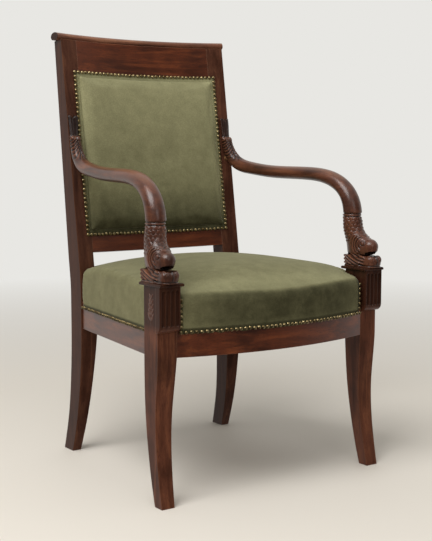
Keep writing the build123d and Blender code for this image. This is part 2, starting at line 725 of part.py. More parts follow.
def lower_jaw():
    """Lower jaw lying on the cap, rounded in front."""
    top = CAP_TOP_Z + JAW_HEIGHT
    half = JAW_HALF_WIDTH
    jaw = box(HEAD_X - half, HEAD_X + half, JAW_FRONT_Y, JAW_REAR_Y, CAP_TOP_Z, top)
    jaw = fillet(jaw.edges().filter_by(Axis.Z), JAW_CORNER)
    return fillet(jaw.faces().sort_by(Axis.Z)[-1].edges(), JAW_EDGE_SHARE * JAW_HEIGHT)


def throat():
    """Core behind the open mouth, which joins the head to the jaw."""
    front = JAW_FRONT_Y + MOUTH_DEPTH
    half = (JAW_REAR_Y - front) / 2
    oval = Pos(HEAD_X, front + half, CAP_TOP_Z) * Ellipse(THROAT_HALF_WIDTH, half)
    return extrude(oval, amount=MOUTH_Z - CAP_TOP_Z)


def fins():
    """Pair of gill fins that sweep back over the cap."""
    z = CAP_TOP_Z
    rear = POST_REAR_Y + CAP_REAR_OVERHANG - FIN_LEAN / 2
    front = rear - FIN_LENGTH
    tip = (rear, z + FIN_HEIGHT)
    shoulder = (front, z + FIN_SHOULDER_HEIGHT_SHARE * FIN_HEIGHT)
    curve = (rear - FIN_CURVE_LENGTH_SHARE * FIN_LENGTH, z + FIN_CURVE_HEIGHT_SHARE * FIN_HEIGHT)
    outline = [
        Polyline((front, z), (rear - FIN_LEAN, z), tip),
        ThreePointArc(tip, curve, shoulder),
        Line(shoulder, (front, z)),
    ]
    return side_solid(outline, HEAD_X - FIN_HALF_WIDTH, HEAD_X + FIN_HALF_WIDTH)


def seat_outline(out):
    """Plan of the seat frame grown by out: bowed front, corners round the posts and stiles."""
    post_x = POST_INNER_X - FIT_GAP
    post_y = POST_REAR_Y + FIT_GAP
    stile_x = STILE_INNER_X - FIT_GAP
    stile_y = STILE_FRONT_Y - FIT_GAP
    rear_y = REAR_RAIL_Y + RAIL_THICKNESS + out
    lean = hypot(SIDE_RAIL_FRONT_X - SIDE_RAIL_REAR_X, STILE_FRONT_Y - POST_REAR_Y)
    wide = out * lean / (STILE_FRONT_Y - POST_REAR_Y)
    right = [
        (post_x, front_arc_y(post_x, -out)),
        (post_x, post_y),
        (side_rail_x(post_y) + wide, post_y),
        (side_rail_x(stile_y) + wide, stile_y),
        (stile_x, stile_y),
        (stile_x, rear_y),
    ]
    left = [(-x, y) for x, y in reversed(right)]
    front = ThreePointArc(left[-1], (0, front_arc_y(0, -out)), right[0])
    return [front, Polyline(*right, *left)]


def seat_levels():
    """Places from front to rear with the seat's height in the middle and beyond its sides."""
    rise = SEAT_CROWN_Z - SEAT_EDGE_Z
    run = STILE_FRONT_Y - POST_REAR_Y
    shares = [
        (POST_FRONT_Y - FRONT_RAIL_BOW - SEAT_MARGIN, -0.19, -0.35),
        (POST_FRONT_Y, 0.34, 0.04),
        (POST_REAR_Y, 0.65, 0.14),
        (POST_REAR_Y + 0.13 * run, 0.84, 0.28),
        (POST_REAR_Y + 0.34 * run, 0.97, 0.34),
        (POST_REAR_Y + 0.55 * run, 1.0, 0.32),
        (POST_REAR_Y + 0.83 * run, 0.88, 0.20),
        (POST_REAR_Y + 0.97 * run, 0.75, -0.02),
        (REAR_RAIL_Y + RAIL_THICKNESS + SEAT_MARGIN, 0.52, -0.30),
    ]
    return [(y, SEAT_EDGE_Z + middle * rise, SEAT_EDGE_Z + side * rise) for y, middle, side in shares]


def seat_crown(drop):
    """Domed block, whose top is the seat lowered by drop: low at the front, high in the middle."""
    wide = POST_OUTER_X + SEAT_MARGIN
    base = RAIL_BOTTOM_Z
    sections = []
    for y, middle, side in seat_levels():
        z = side - drop
        top = ThreePointArc((-wide, z), (0, middle - drop), (wide, z))
        frame = Polyline((wide, z), (wide, base), (-wide, base), (-wide, z))
        plane = Plane(origin=(0, y, 0), x_dir=(1, 0, 0), z_dir=(0, -1, 0))
        sections.append(plane * make_face([top, frame]))
    return loft(sections)


def seat_form(out, drop, bottom):
    """Solid seat: the grown plan, cut by the crown and folded over at its front and sides."""
    block = prism(seat_outline(out), bottom, SEAT_CROWN_Z + SEAT_MARGIN)
    form = block & seat_crown(drop)
    rim = form.faces().sort_by(Axis.Z)[-1].edges()
    form = fillet(rim.sort_by(Axis.Y)[0], SEAT_FRONT_FOLD - drop)
    rim = form.faces().sort_by(Axis.Z)[-1].edges()
    sides = [rim.sort_by(Axis.X)[0], rim.sort_by(Axis.X)[-1]]
    return fillet(sides, SEAT_SIDE_FOLD - drop)


def frame_block():
    """Space that the rails, posts and stiles fill below the rails' top, with a fitting gap."""
    post_x = POST_INNER_X + OVERCUT
    post_y = POST_REAR_Y - OVERCUT
    stile_x = STILE_INNER_X + OVERCUT
    stile_y = STILE_FRONT_Y + OVERCUT
    right = [
        (post_x, front_arc_y(POST_INNER_X - FIT_GAP, -FIT_GAP)),
        (post_x, post_y),
        (side_rail_x(post_y, -FIT_GAP), post_y),
        (side_rail_x(stile_y, -FIT_GAP), stile_y),
        (stile_x, stile_y),
        (stile_x, REAR_RAIL_Y + RAIL_THICKNESS + FIT_GAP),
    ]
    left = [(-x, y) for x, y in reversed(right)]
    front = ThreePointArc(left[-1], (0, front_arc_y(0, -FIT_GAP)), right[0])
    return prism([front, Polyline(*right, *left)], HEM_BOTTOM_Z - OVERCUT, RAIL_TOP_Z + FIT_GAP)


def seat_cover():
    """Velvet over the seat: a crowned shell whose hem is nailed to the rails' outer faces."""
    shell = seat_form(FIT_GAP + COVER_THICKNESS, 0.0, HEM_BOTTOM_Z)
    shell -= seat_form(-COVER_THICKNESS, COVER_THICKNESS, RAIL_BOTTOM_Z)
    return shell - frame_block()


def web_top_z():
    """Top of the two layers of webbing on the rails."""
    return RAIL_TOP_Z + 2 * WEB_THICKNESS


def seat_stuffing():
    """Horsehair pad between the hessian and the cover."""
    gap = COVER_THICKNESS + FIT_GAP
    return seat_form(-gap, gap, web_top_z() + HESSIAN_THICKNESS)


def seat_hessian():
    """Hessian stretched over the webbing, under the stuffing."""
    z = web_top_z()
    return prism(seat_outline(-COVER_THICKNESS - FIT_GAP), z, z + HESSIAN_THICKNESS)


def seat_webbing():
    """Webbing tacked on the rails: straps from front to rear, and straps across on top of them."""
    z = RAIL_TOP_Z
    rear = REAR_RAIL_Y + WEB_LANDING
    straps = []
    for i in range(-1, 2):
        x = SEAT_WEB_PITCH * i * WEB_WIDTH
        front = front_arc_y(abs(x) + WEB_WIDTH / 2, RAIL_THICKNESS - WEB_LANDING)
        straps.append(box(x - WEB_WIDTH / 2, x + WEB_WIDTH / 2, front, rear, z, z + WEB_THICKNESS))
    for i in range(-1, 2):
        y = (POST_REAR_Y + STILE_FRONT_Y) / 2 + SEAT_CROSS_WEB_PITCH * i * WEB_WIDTH
        half = side_rail_x(y + WEB_WIDTH / 2, RAIL_THICKNESS - WEB_LANDING)
        y0 = y - WEB_WIDTH / 2
        straps.append(box(-half, half, y0, y0 + WEB_WIDTH, z + WEB_THICKNESS, web_top_z()))
    return group(straps)


def panel_span(landing):
    """Bottom and top of a sheet that lands on both back rails, in the back frame."""
    return lower_rail_span()[1] - landing, crest_rail_span()[0] + landing


def outer_cover_span():
    """Bottom and top of the rebate for the cover on the rear of the back."""
    return panel_span(REBATE_WIDTH)


def back_webbing():
    """Straps up the back, and straps across in front of them."""
    z0, z1 = panel_span(BACK_LANDING)
    half = STILE_INNER_X + BACK_LANDING
    r0 = BACK_RADIUS - 2 * WEB_THICKNESS
    r1 = BACK_RADIUS - WEB_THICKNESS
    straps = []
    for i in range(-1, 2):
        x = BACK_WEB_PITCH * i * WEB_WIDTH
        straps.append(back_slab(x - WEB_WIDTH / 2, x + WEB_WIDTH / 2, r1, BACK_RADIUS, z0, z1))
        z = (z0 + z1) / 2 + BACK_CROSS_WEB_SHARE * i * (z1 - z0)
        straps.append(back_slab(-half, half, r0, r1, z - WEB_WIDTH / 2, z + WEB_WIDTH / 2))
    return group(straps)


def back_hessian():
    """Hessian over the back webbing."""
    half = STILE_INNER_X + BACK_LANDING
    r1 = BACK_RADIUS - 2 * WEB_THICKNESS
    return back_slab(-half, half, r1 - HESSIAN_THICKNESS, r1, *panel_span(BACK_LANDING))


def back_pad(half, span, rear_r, drop):
    """Crowned pad on the curved back, from a radius forwards to the velvet's face less drop."""
    z0, z1 = span
    rim = BACK_SHOULDER_HEIGHT_SHARE * (z1 - z0)
    shoulder = BACK_SHOULDER_CROWN_SHARE * BACK_CROWN
    lower = [(z0, BACK_EDGE), (z0 + rim, shoulder)]
    upper = [(z1 - rim, shoulder), (z1, BACK_EDGE)]
    levels = [*lower, ((z0 + z1) / 2, BACK_CROWN), *upper]
    rear_x = back_arc_y(half, rear_r)
    front_x = back_arc_y(half) - BACK_EDGE + drop
    sections = []
    for z, rise in levels:
        outline = [
            ThreePointArc((-half, rear_x), (0, back_arc_y(0, rear_r)), (half, rear_x)),
            Line((half, rear_x), (half, front_x)),
            ThreePointArc((half, front_x), (0, back_arc_y(0) - rise + drop), (-half, front_x)),
            Line((-half, front_x), (-half, rear_x)),
        ]
        sections.append(Pos(0, 0, z) * make_face(outline))
    return BACK_PLANE * loft(sections)


def back_cover():
    """Velvet on the front of the back: a crowned panel with a flat hem for the nails."""
    rear_r = BACK_RADIUS - FIT_GAP
    inner = STILE_INNER_X + BACK_LANDING + FIT_GAP
    z0, z1 = panel_span(BACK_LANDING + FIT_GAP)
    wall = COVER_THICKNESS
    hem = back_slab(
        -inner - wall - BACK_HEM,
        inner + wall + BACK_HEM,
        rear_r - wall,
        rear_r,
        z0 - wall - BACK_HEM,
        z1 + wall + BACK_HEM,
    )
    outer = back_pad(inner + wall, (z0 - wall, z1 + wall), rear_r, 0.0)
    room = back_pad(inner, (z0, z1), BACK_RADIUS + wall, wall)
    return hem + outer - room


def back_stuffing():
    """Horsehair pad between the back hessian and the velvet."""
    half = STILE_INNER_X + BACK_LANDING
    rear_r = BACK_RADIUS - 2 * WEB_THICKNESS - HESSIAN_THICKNESS - FIT_GAP
    return back_pad(half, panel_span(BACK_LANDING), rear_r, COVER_THICKNESS + FIT_GAP)


def outer_back_cover():
    """Flat velvet panel on the rear of the back, inside the stiles' rebates."""
    floor = BACK_RADIUS + BACK_RAIL_THICKNESS + FIT_GAP / 2
    half = STILE_INNER_X + REBATE_WIDTH - FIT_GAP
    z0, z1 = outer_cover_span()
    return back_slab(-half, half, floor, floor + COVER_THICKNESS, z0 + FIT_GAP, z1 - FIT_GAP)


def group(solids):
    """Separate solids kept together in one node."""
    return Compound([solid for part in solids for solid in part.solids()])


def pairs():
    """Pieces made for the right side and mirrored for the left."""
    return {
        "front_leg": front_leg(),
        "block_cap": block_cap(),
        "rear_stile": rear_stile(),
        "seat_side_rail": side_rail(),
        "arm": arm(),
        "dolphin": dolphin(),
        "front_corner_brace": corner_brace(front=True),
        "rear_corner_brace": corner_brace(front=False),
    }


def both(solid):
    """A right-hand solid and its mirror image in one group."""
    return group([solid, mirrored(solid)])


def nodes():
    """Every piece of the chair by name."""
    pieces = {}
    for name, right in pairs().items():
        pieces[f"right_{name}"] = right
        pieces[f"left_{name}"] = mirrored(right)
    pieces["seat_front_rail"] = front_rail()
    pieces["seat_rear_rail"] = rear_rail()
    pieces["lower_back_rail"] = back_rail(lower_rail_span())
    pieces["crest_rail"] = back_rail(crest_rail_span())
    pieces["crest_roll"] = crest_roll()
    pieces["arm_dowels"] = both(arm_dowel())
    pieces["collar_dowels"] = both(collar_dowel())
    pieces["dolphin_dowels"] = both(dolphin_dowel())
    pieces["seat_webbing"] = seat_webbing()
    pieces["seat_hessian"] = seat_hessian()
    pieces["seat_stuffing"] = seat_stuffing()
    pieces["seat_cover"] = seat_cover()
    pieces["back_webbing"] = back_webbing()
    pieces["back_hessian"] = back_hessian()
    pieces["back_stuffing"] = back_stuffing()
    pieces["back_cover"] = back_cover()
    pieces["outer_back_cover"] = outer_back_cover()
    return pieces


def main():
    """Build every piece, stand the chair over the middle of its box and write the files."""
    pieces = nodes()
    boxes = [piece.bounding_box() for piece in pieces.values()]
    front = min(b.min.Y for b in boxes)
    rear = max(b.max.Y for b in boxes)
    shift = Pos(0, -(front + rear) / 2, 0)
    print(f"front {front:.2f} rear {rear:.2f}, moved by {-(front + rear) / 2:.2f} along Y")
    os.makedirs("parts", exist_ok=True)
    for name, piece in pieces.items():
        export_step(shift * piece, f"parts/{name}.step")


main()
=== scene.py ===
"""Looks of a mahogany fauteuil with dolphin arms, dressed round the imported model.

Sizes are millimetres in the frame of the part's source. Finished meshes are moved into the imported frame, in
metres. The right half is built and mirrored where the chair is symmetric.
"""
from __future__ import annotations

import logging
import random
from dataclasses import dataclass
from enum import Enum
from functools import partial
from math import atan, cos, pi, radians, sin, sqrt
from typing import Callable, Iterable, Sequence

import bmesh
import bpy
import numpy as np
from mathutils import Matrix, Vector
from mathutils.bvhtree import BVHTree


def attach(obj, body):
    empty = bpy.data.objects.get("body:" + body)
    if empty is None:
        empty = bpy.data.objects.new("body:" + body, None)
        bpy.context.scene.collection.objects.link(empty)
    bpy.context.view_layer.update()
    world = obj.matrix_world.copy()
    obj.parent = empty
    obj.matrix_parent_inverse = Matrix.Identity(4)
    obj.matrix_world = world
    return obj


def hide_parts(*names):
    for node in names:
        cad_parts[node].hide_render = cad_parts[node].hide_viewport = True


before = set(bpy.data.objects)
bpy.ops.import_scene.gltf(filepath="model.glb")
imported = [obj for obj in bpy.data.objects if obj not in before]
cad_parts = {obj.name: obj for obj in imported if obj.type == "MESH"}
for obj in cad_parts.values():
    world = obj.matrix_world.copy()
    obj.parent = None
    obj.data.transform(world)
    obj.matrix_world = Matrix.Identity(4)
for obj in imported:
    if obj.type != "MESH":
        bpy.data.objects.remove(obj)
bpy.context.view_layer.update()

LOG = logging.getLogger("fauteuil")
MM = 0.001
# Step from the source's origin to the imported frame's
SHIFT_Y = -2.81
TO_METRES = Matrix.Diagonal((MM, MM, MM, 1.0))
TO_FRAME = Matrix.Translation((0.0, SHIFT_Y * MM, 0.0)) @ TO_METRES
FROM_FRAME = TO_FRAME.inverted()
# Bend of the stiles, and their rake above it
BEND_Y = 170.2
BEND_Z = 444.0
RAKE = 0.148

# Vertex values that the finishes read: the velvet's painted light and shade from shaded to lit, and the
# carving from groove to ridge, which also carries painted shade and highlight
PAINTED_LIGHT = "painted_light"
CARVING = "carving"
# Painted shadow of the nails along the velvet's hem, as a level of the painted light
NAIL_SHADOW_LEVEL = -0.1

# Cloth simulation of the stuffed forms
CLOTH_QUALITY = 4
CLOTH_PRESSURE = 4.0
CLOTH_FRAMES = 20

Mesh = bmesh.types.BMesh
Material = bpy.types.Material
Tree = bpy.types.NodeTree
Triple = tuple[float, float, float]
# What a node's inputs get, by the input's name or number
Inputs = dict[str | int, object]


class Side(Enum):
    """Half of the chair, seen from the front."""

    RIGHT = 1
    LEFT = -1


class Grain(Enum):
    """Direction of the wood's grain, as the stretch of its pattern along X, Y and Z."""

    UPRIGHT = (1.0, 1.0, 0.06)
    ACROSS = (0.06, 1.0, 1.0)
    DEEP = (1.0, 0.06, 1.0)


@dataclass(frozen=True)
class Fade:
    """Gradual change from none at one value to its full amount at another."""

    start: float
    full: float
    amount: float = 1.0

    def at(self, value: np.ndarray) -> np.ndarray:
        """Amount at each value."""
        share = np.clip((value - self.start) / (self.full - self.start), 0.0, 1.0)
        return self.amount * share * share * (3 - 2 * share)


@dataclass(frozen=True)
class Ridge:
    """Rounded ridge, or a groove where its height is negative."""

    middle: float
    width: float
    height: float = 1.0

    def at(self, value: np.ndarray) -> np.ndarray:
        """Height at each value."""
        return self.height * np.exp(-(((value - self.middle) / self.width) ** 2))


def linear(hex_colour: str) -> tuple[float, float, float, float]:
    """Turn an sRGB hex colour into linear red, green, blue and alpha.

    Args:
        hex_colour: six hex digits after a hash mark.

    Returns:
        The colour as four numbers from 0 to 1.
    """
    parts = [int(hex_colour[i:i + 2], 16) / 255 for i in (1, 3, 5)]
    red, green, blue = (c / 12.92 if c <= 0.04045 else ((c + 0.055) / 1.055) ** 2.4 for c in parts)
    return red, green, blue, 1.0


def add_node(
    tree: Tree,
    kind: str,
    inputs: Inputs | Sequence[object] = (),
    give: str = "",
    stops: Sequence[tuple[float, str]] = (),
    **settings: object,
) -> bpy.types.NodeSocket | None:
    """Add a node with its settings, its values and its links.

    Args:
        tree: node tree that gets the node.
        kind: Blender's name of the node type.
        inputs: value, hex colour or output socket for each input, by name or number, or in order.
        give: name of the wanted output, or nothing for the first one in use.
        stops: places and hex colours of a colour ramp.
        settings: attributes of the node.

    Returns:
        The wanted output, if the node has one.
    """
    node = tree.nodes.new(kind)
    for name, value in settings.items():
        setattr(node, name, value)
    for name, value in inputs.items() if isinstance(inputs, dict) else enumerate(inputs):
        if isinstance(value, bpy.types.NodeSocket):
            tree.links.new(value, node.inputs[name])
        else:
            node.inputs[name].default_value = linear(value) if isinstance(value, str) else value
    if stops:
        elements = node.color_ramp.elements
        while len(elements) < len(stops):
            elements.new(1.0)
        for element, (place, colour) in zip(elements, stops):
            element.position = place
            element.color = linear(colour)
    return node.outputs[give] if give else next((out for out in node.outputs if out.enabled), None)


def new_material(name: str) -> tuple[Material, Tree]:
    """Make a material that has no nodes yet.

    Args:
        name: the material's name.

    Returns:
        The material and its node tree.
    """
    material = bpy.data.materials.new(name)
    material.use_nodes = True
    material.node_tree.nodes.clear()
    return material, material.node_tree


@dataclass(frozen=True)
class Finish:
    """Surface of one real material, named for it."""

    name: str

    def sockets(self, tree: Tree) -> Inputs:
        """Add the finish's own nodes.

        Args:
            tree: the material's node tree.

        Returns:
            What the shader's inputs get.
        """
        raise NotImplementedError

    def material(self) -> Material:
        """Build the node material.

        Returns:
            The material.
        """
        made, tree = new_material(self.name)
        shader = add_node(tree, "ShaderNodeBsdfPrincipled", self.sockets(tree))
        add_node(tree, "ShaderNodeOutputMaterial", {"Surface": shader})
        return made


@dataclass(frozen=True)
class Mahogany(Finish):
    """French-polished mahogany: dark red-brown ribbons, short dark pores and a worn shellac gloss."""

    grain: Grain
    carved: bool = False
    dark: str = "#3c2014"
    middle: str = "#5d3525"
    light: str = "#824f34"
    pore_and_shade: str = "#1f0d06"
    # The pale tone shows rubbed edges, and on the carving's ridges also a painted highlight; the darkest tone
    # is grime, and in the carving's hollows also painted shade
    worn: str = "#97684a"
    grime_and_shade: str = "#120906"
    ribbon_mm: float = 13.0
    # Real pores are 0.2 mm wide; they are drawn at 1.1 mm so that they show
    pore_mm: float = 1.1
    pore_depth_mm: float = 0.2
    patch_mm: float = 110.0
    edge_mm: float = 2.2
    gloss: float = 0.5
    # Roughness of the polish, from the figure's dark ribbons to its pale ones
    polish: tuple[float, float] = (0.22, 0.40)
    # Height above which the wood is darker, or none, and half the height of the change
    dusk_mm: float = 0.0
    dusk_blur_mm: float = 9.0
    # Share of painted shade on faces turned to the left and right
    side_shade: float = 0.0

    def sockets(self, tree: Tree) -> Inputs:
        """Lay the wood's figure, pores, patches and wear, with painted shade and highlight, over each other.

        Args:
            tree: the material's node tree.

        Returns:
            What the shader's inputs get.
        """
        add = partial(add_node, tree)
        place = add("ShaderNodeTexCoord", give="Object")
        along = add("ShaderNodeMapping", {"Vector": place, "Scale": self.grain.value})
        ribbon, pores, patch = (
            add("ShaderNodeTexNoise", {"Vector": way, "Scale": 1 / (size * MM), **more})
            for way, size, more in (
                (along, self.ribbon_mm, {"Detail": 6.0, "Roughness": 0.62, "Distortion": 0.6}),
                (along, self.pore_mm, {"Detail": 2.0, "Roughness": 0.5}),
                (place, self.patch_mm, {"Detail": 3.0}),
            )
        )
        colour = add(
            "ShaderNodeValToRGB", {"Fac": ribbon},
            stops=[(0.30, self.dark), (0.51, self.middle), (0.72, self.light)],
        )
        # Softened edges: the bevelled normal rounds them, and its turn shows where the polish is rubbed
        rounded = add("ShaderNodeBevel", {"Radius": self.edge_mm * MM}, samples=4)
        flat = add("ShaderNodeNewGeometry", give="Normal")
        turn = add("ShaderNodeVectorMath", (rounded, flat), operation="DOT_PRODUCT")
        # Layers from the wood up: calm patches, pores, smoky patches and rubbed edges. Each has the value
        # that it reads, where it starts and is full, its full share and its tone
        layers = [
            (patch, 0.35, 0.65, 0.5, self.middle),
            (pores, 0.56, 0.72, 0.6, self.pore_and_shade),
            (patch, 0.52, 0.34, 0.5, self.pore_and_shade),
            (turn, 0.99, 0.86, 0.35, self.worn),
        ]
        if self.side_shade:
            # Painted shade on faces turned to the left and right, in the pores' dark tone
            sideways = add("ShaderNodeSeparateXYZ", (flat,), give="X")
            sideways = add("ShaderNodeMath", (sideways,), operation="ABSOLUTE")
            layers.append((sideways, 0.6, 0.9, self.side_shade, self.pore_and_shade))
        if self.dusk_mm:
            height = add("ShaderNodeSeparateXYZ", (place,), give="Z")
            low, high = ((self.dusk_mm + blur) * MM for blur in (-self.dusk_blur_mm, self.dusk_blur_mm))
            layers.append((height, low, high, 0.68, self.grime_and_shade))
        if self.carved:
            # Polish and dust have gathered in the hollows of the carving, which are also painted darker as
            # shade, and hands have paled its ridges, which also get a painted highlight
            height = add("ShaderNodeAttribute", give="Fac", attribute_name=CARVING)
            layers += [(height, 0.5, 0.1, 0.92, self.grime_and_shade), (height, 0.62, 1.0, 0.55, self.worn)]
        for value, start, full, most, tone in layers:
            share = add("ShaderNodeMapRange", (value, start, full, 0.0, most))
            colour = add("ShaderNodeMix", {0: share, 6: colour, 7: tone}, data_type="RGBA")
        return {
            "Base Color": colour,
            "Roughness": add("ShaderNodeMapRange", (ribbon, 0.0, 1.0, *self.polish)),
            "Normal": add("ShaderNodeBump", {
                "Height": pores, "Strength": 0.10, "Distance": self.pore_depth_mm * MM, "Normal": rounded,
            }),
            "IOR": 1.5,
            "Specular IOR Level": self.gloss,
        }


@dataclass(frozen=True)
class Velvet(Finish):
    """Cotton velvet: a sage pile, painted dark where it is shaded and pale where it is lit, and pale where it
    is seen aslant.
    """

    name: str = "cotton_velvet"
    shade_tone: str = "#3c3a27"
    middle: str = "#6f6c4f"
    light_tone: str = "#96936f"
    bloom: str = "#c9c6ab"
    mottle_mm: float = 30.0
    # The pile's tufts are 0.5 mm apart; they are drawn at 1.6 mm so that they show
    tuft_mm: float = 1.6
    tuft_depth_mm: float = 0.5
    # How far strokes of the hand change the pile
    stroke: float = 0.11

    def sockets(self, tree: Tree) -> Inputs:
        """Tone the pile by its painted light and shade, by strokes and by tufts.

        Args:
            tree: the material's node tree.

        Returns:
            What the shader's inputs get.
        """
        add = partial(add_node, tree)
        place = add("ShaderNodeTexCoord", give="Object")
        mottle, tufts = (
            add("ShaderNodeTexNoise", {"Vector": place, "Scale": 1 / (size * MM), **more})
            for size, more in (
                (self.mottle_mm, {"Detail": 8.0, "Roughness": 0.68, "Distortion": 0.1}),
                (self.tuft_mm, {"Detail": 2.0}),
            )
        )
        # Painted light and shade, stored on the mesh, picks the tone from the shaded colour to the lit one
        lit_level = add("ShaderNodeAttribute", give="Fac", attribute_name=PAINTED_LIGHT)
        strokes = add("ShaderNodeMapRange", (mottle, 0.3, 0.7, -self.stroke, self.stroke))
        level = add("ShaderNodeMath", (lit_level, strokes), operation="ADD")
        painted_light = add(
            "ShaderNodeValToRGB", {"Fac": level},
            stops=[(0.0, self.shade_tone), (0.5, self.middle), (1.0, self.light_tone)],
        )
        fleck = add("ShaderNodeMapRange", (tufts, 0.35, 0.65, 0.84, 1.12))
        return {
            "Base Color": add(
                "ShaderNodeMix", {0: 1.0, 6: painted_light, 7: fleck}, data_type="RGBA", blend_type="MULTIPLY",
            ),
            "Normal": add("ShaderNodeBump", {
                "Height": tufts, "Strength": 0.25, "Distance": self.tuft_depth_mm * MM,
            }),
            "Roughness": 0.9,
            "Specular IOR Level": 0.08,
            "Sheen Weight": 0.55,
            "Sheen Roughness": 0.32,
            "Sheen Tint": self.bloom,
        }


@dataclass(frozen=True)
class AgedBrass(Finish):
    """Pressed brass nail heads: dull gold with brown tarnish between bright rubbed domes."""

    name: str = "aged_brass"
    bright: str = "#b3a075"
    tarnish: str = "#5f4d2f"
    spot_mm: float = 6.0

    def sockets(self, tree: Tree) -> Inputs:
        """Spot the brass with tarnish, which is also rougher.

        Args:
            tree: the material's node tree.

        Returns:
            What the shader's inputs get.
        """
        add = partial(add_node, tree)
        place = add("ShaderNodeTexCoord", give="Object")
        spots = add("ShaderNodeTexNoise", {"Vector": place, "Scale": 1 / (self.spot_mm * MM), "Detail": 4.0})
        return {
            "Base Color": add(
                "ShaderNodeValToRGB", {"Fac": spots}, stops=[(0.35, self.tarnish), (0.62, self.bright)],
            ),
            "Roughness": add("ShaderNodeMapRange", (spots, 0.0, 1.0, 0.52, 0.26)),
            "Metallic": 1.0,
        }


@dataclass(frozen=True)
class Beech(Finish):
    """Sawn beech, unpolished: pale pinkish brown with short darker ray flecks."""

    name: str = "sawn_beech"
    pale: str = "#b08a62"
    deep: str = "#8b6642"
    fleck: str = "#6d4c30"
    grain_mm: float = 7.0
    fleck_mm: float = 2.0

    def sockets(self, tree: Tree) -> Inputs:
        """Draw the grain and its flecks.

        Args:
            tree: the material's node tree.

        Returns:
            What the shader's inputs get.
        """
        add = partial(add_node, tree)
        place = add("ShaderNodeTexCoord", give="Object")
        along = add("ShaderNodeMapping", {"Vector": place, "Scale": Grain.ACROSS.value})
        grain, flecks = (
            add("ShaderNodeTexNoise", {"Vector": along, "Scale": 1 / (size * MM), "Detail": detail})
            for size, detail in ((self.grain_mm, 4.0), (self.fleck_mm, 1.0))
        )
        base = add("ShaderNodeValToRGB", {"Fac": grain}, stops=[(0.35, self.deep), (0.65, self.pale)])
        marks = add("ShaderNodeMapRange", (flecks, 0.6, 0.7, 0.0, 0.6))
        return {
            "Base Color": add("ShaderNodeMix", {0: marks, 6: base, 7: self.fleck}, data_type="RGBA"),
            "Roughness": 0.65,
        }


@dataclass(frozen=True)
class PlainWeave(Finish):
    """Coarse bast cloth in a plain weave: hairy threads over and under with dark gaps between them."""

    thread: str
    shade: str
    # Threads are drawn a little coarser than they are so that the weave shows
    pitch_mm: float
    slub_mm: float = 9.0
    thread_depth_mm: float = 0.5

    def sockets(self, tree: Tree) -> Inputs:
        """Cross two sets of threads and vary their tone.

        Args:
            tree: the material's node tree.

        Returns:
            What the shader's inputs get.
        """
        add = partial(add_node, tree)
        place = add("ShaderNodeTexCoord", give="Object")
        wave = {"Vector": place, "Scale": 0.5 / (self.pitch_mm * MM), "Distortion": 1.2, "Detail Scale": 1.5}
        warp, weft = (
            add("ShaderNodeTexWave", {**wave, "Detail": 2.0}, give="Fac", bands_direction=direction)
            for direction in ("X", "Y")
        )
        weave = add("ShaderNodeMath", (warp, weft), operation="MULTIPLY")
        cloth = add("ShaderNodeMix", {0: weave, 6: self.shade, 7: self.thread}, data_type="RGBA")
        slub = add("ShaderNodeTexNoise", {"Vector": place, "Scale": 1 / (self.slub_mm * MM), "Detail": 5.0})
        worn = add("ShaderNodeMapRange", (slub, 0.3, 0.7, 0.75, 1.15))
        return {
            "Base Color": add(
                "ShaderNodeMix", {0: 1.0, 6: cloth, 7: worn}, data_type="RGBA", blend_type="MULTIPLY",
            ),
            "Normal": add("ShaderNodeBump", {
                "Height": weave, "Strength": 0.6, "Distance": self.thread_depth_mm * MM,
            }),
            "Roughness": 0.92,
            "Specular IOR Level": 0.1,
        }


def points_of(mesh: Mesh) -> np.ndarray:
    """Vertex places as an array."""
    return np.array([v.co for v in mesh.verts], float).reshape(-1, 3)


def normals_of(mesh: Mesh) -> np.ndarray:
    """Vertex normals as an array."""
    mesh.normal_update()
    return np.array([v.normal for v in mesh.verts], float).reshape(-1, 3)


def set_points(mesh: Mesh, places: np.ndarray) -> None:
    """Move every vertex to its place in an array."""
    for vert, place in zip(mesh.verts, places):
        vert.co = place


def set_values(mesh: Mesh, name: str, values: np.ndarray) -> None:
    """Store one number for every vertex, which a finish reads by its name.

    Args:
        mesh: mesh that gets the numbers.
        name: their name.
        values: a number for each vertex.
    """
    layer = mesh.verts.layers.float.new(name)
    for vert, value in zip(mesh.verts, values):
        vert[layer] = value


def smooth(mesh: Mesh, rounds: int = 1) -> None:
    """Smooth a skin evenly."""
    for _ in range(rounds):
        bmesh.ops.smooth_vert(
            mesh, verts=mesh.verts, factor=0.5, use_axis_x=True, use_axis_y=True, use_axis_z=True
        )


def cut_below(mesh: Mesh, z: float) -> None:
    """Cut off what lies below a height."""
    every = [*mesh.verts, *mesh.edges, *mesh.faces]
    bmesh.ops.bisect_plane(
        mesh, geom=every, plane_co=(0, 0, z), plane_no=(0, 0, -1), clear_outer=True, dist=0.001
    )


def carve(mesh: Mesh, height: np.ndarray, depth: float, stain_and_shade: np.ndarray) -> None:
    """Raise or sink a skin's points along its normals and mark grooves and ridges.

    Args:
        mesh: the skin, moved in place.
        height: distance that each point moves outwards.
        depth: height that counts as a full ridge.
        stain_and_shade: share by which each point is darkened.
    """
    set_points(mesh, points_of(mesh) + normals_of(mesh) * height[:, None])
    # The darkening carries stains and painted shade, and where it is negative, wear and painted highlight
    set_values(mesh, CARVING, np.clip(0.5 + 0.5 * height / depth - stain_and_shade, 0.0, 1.0))


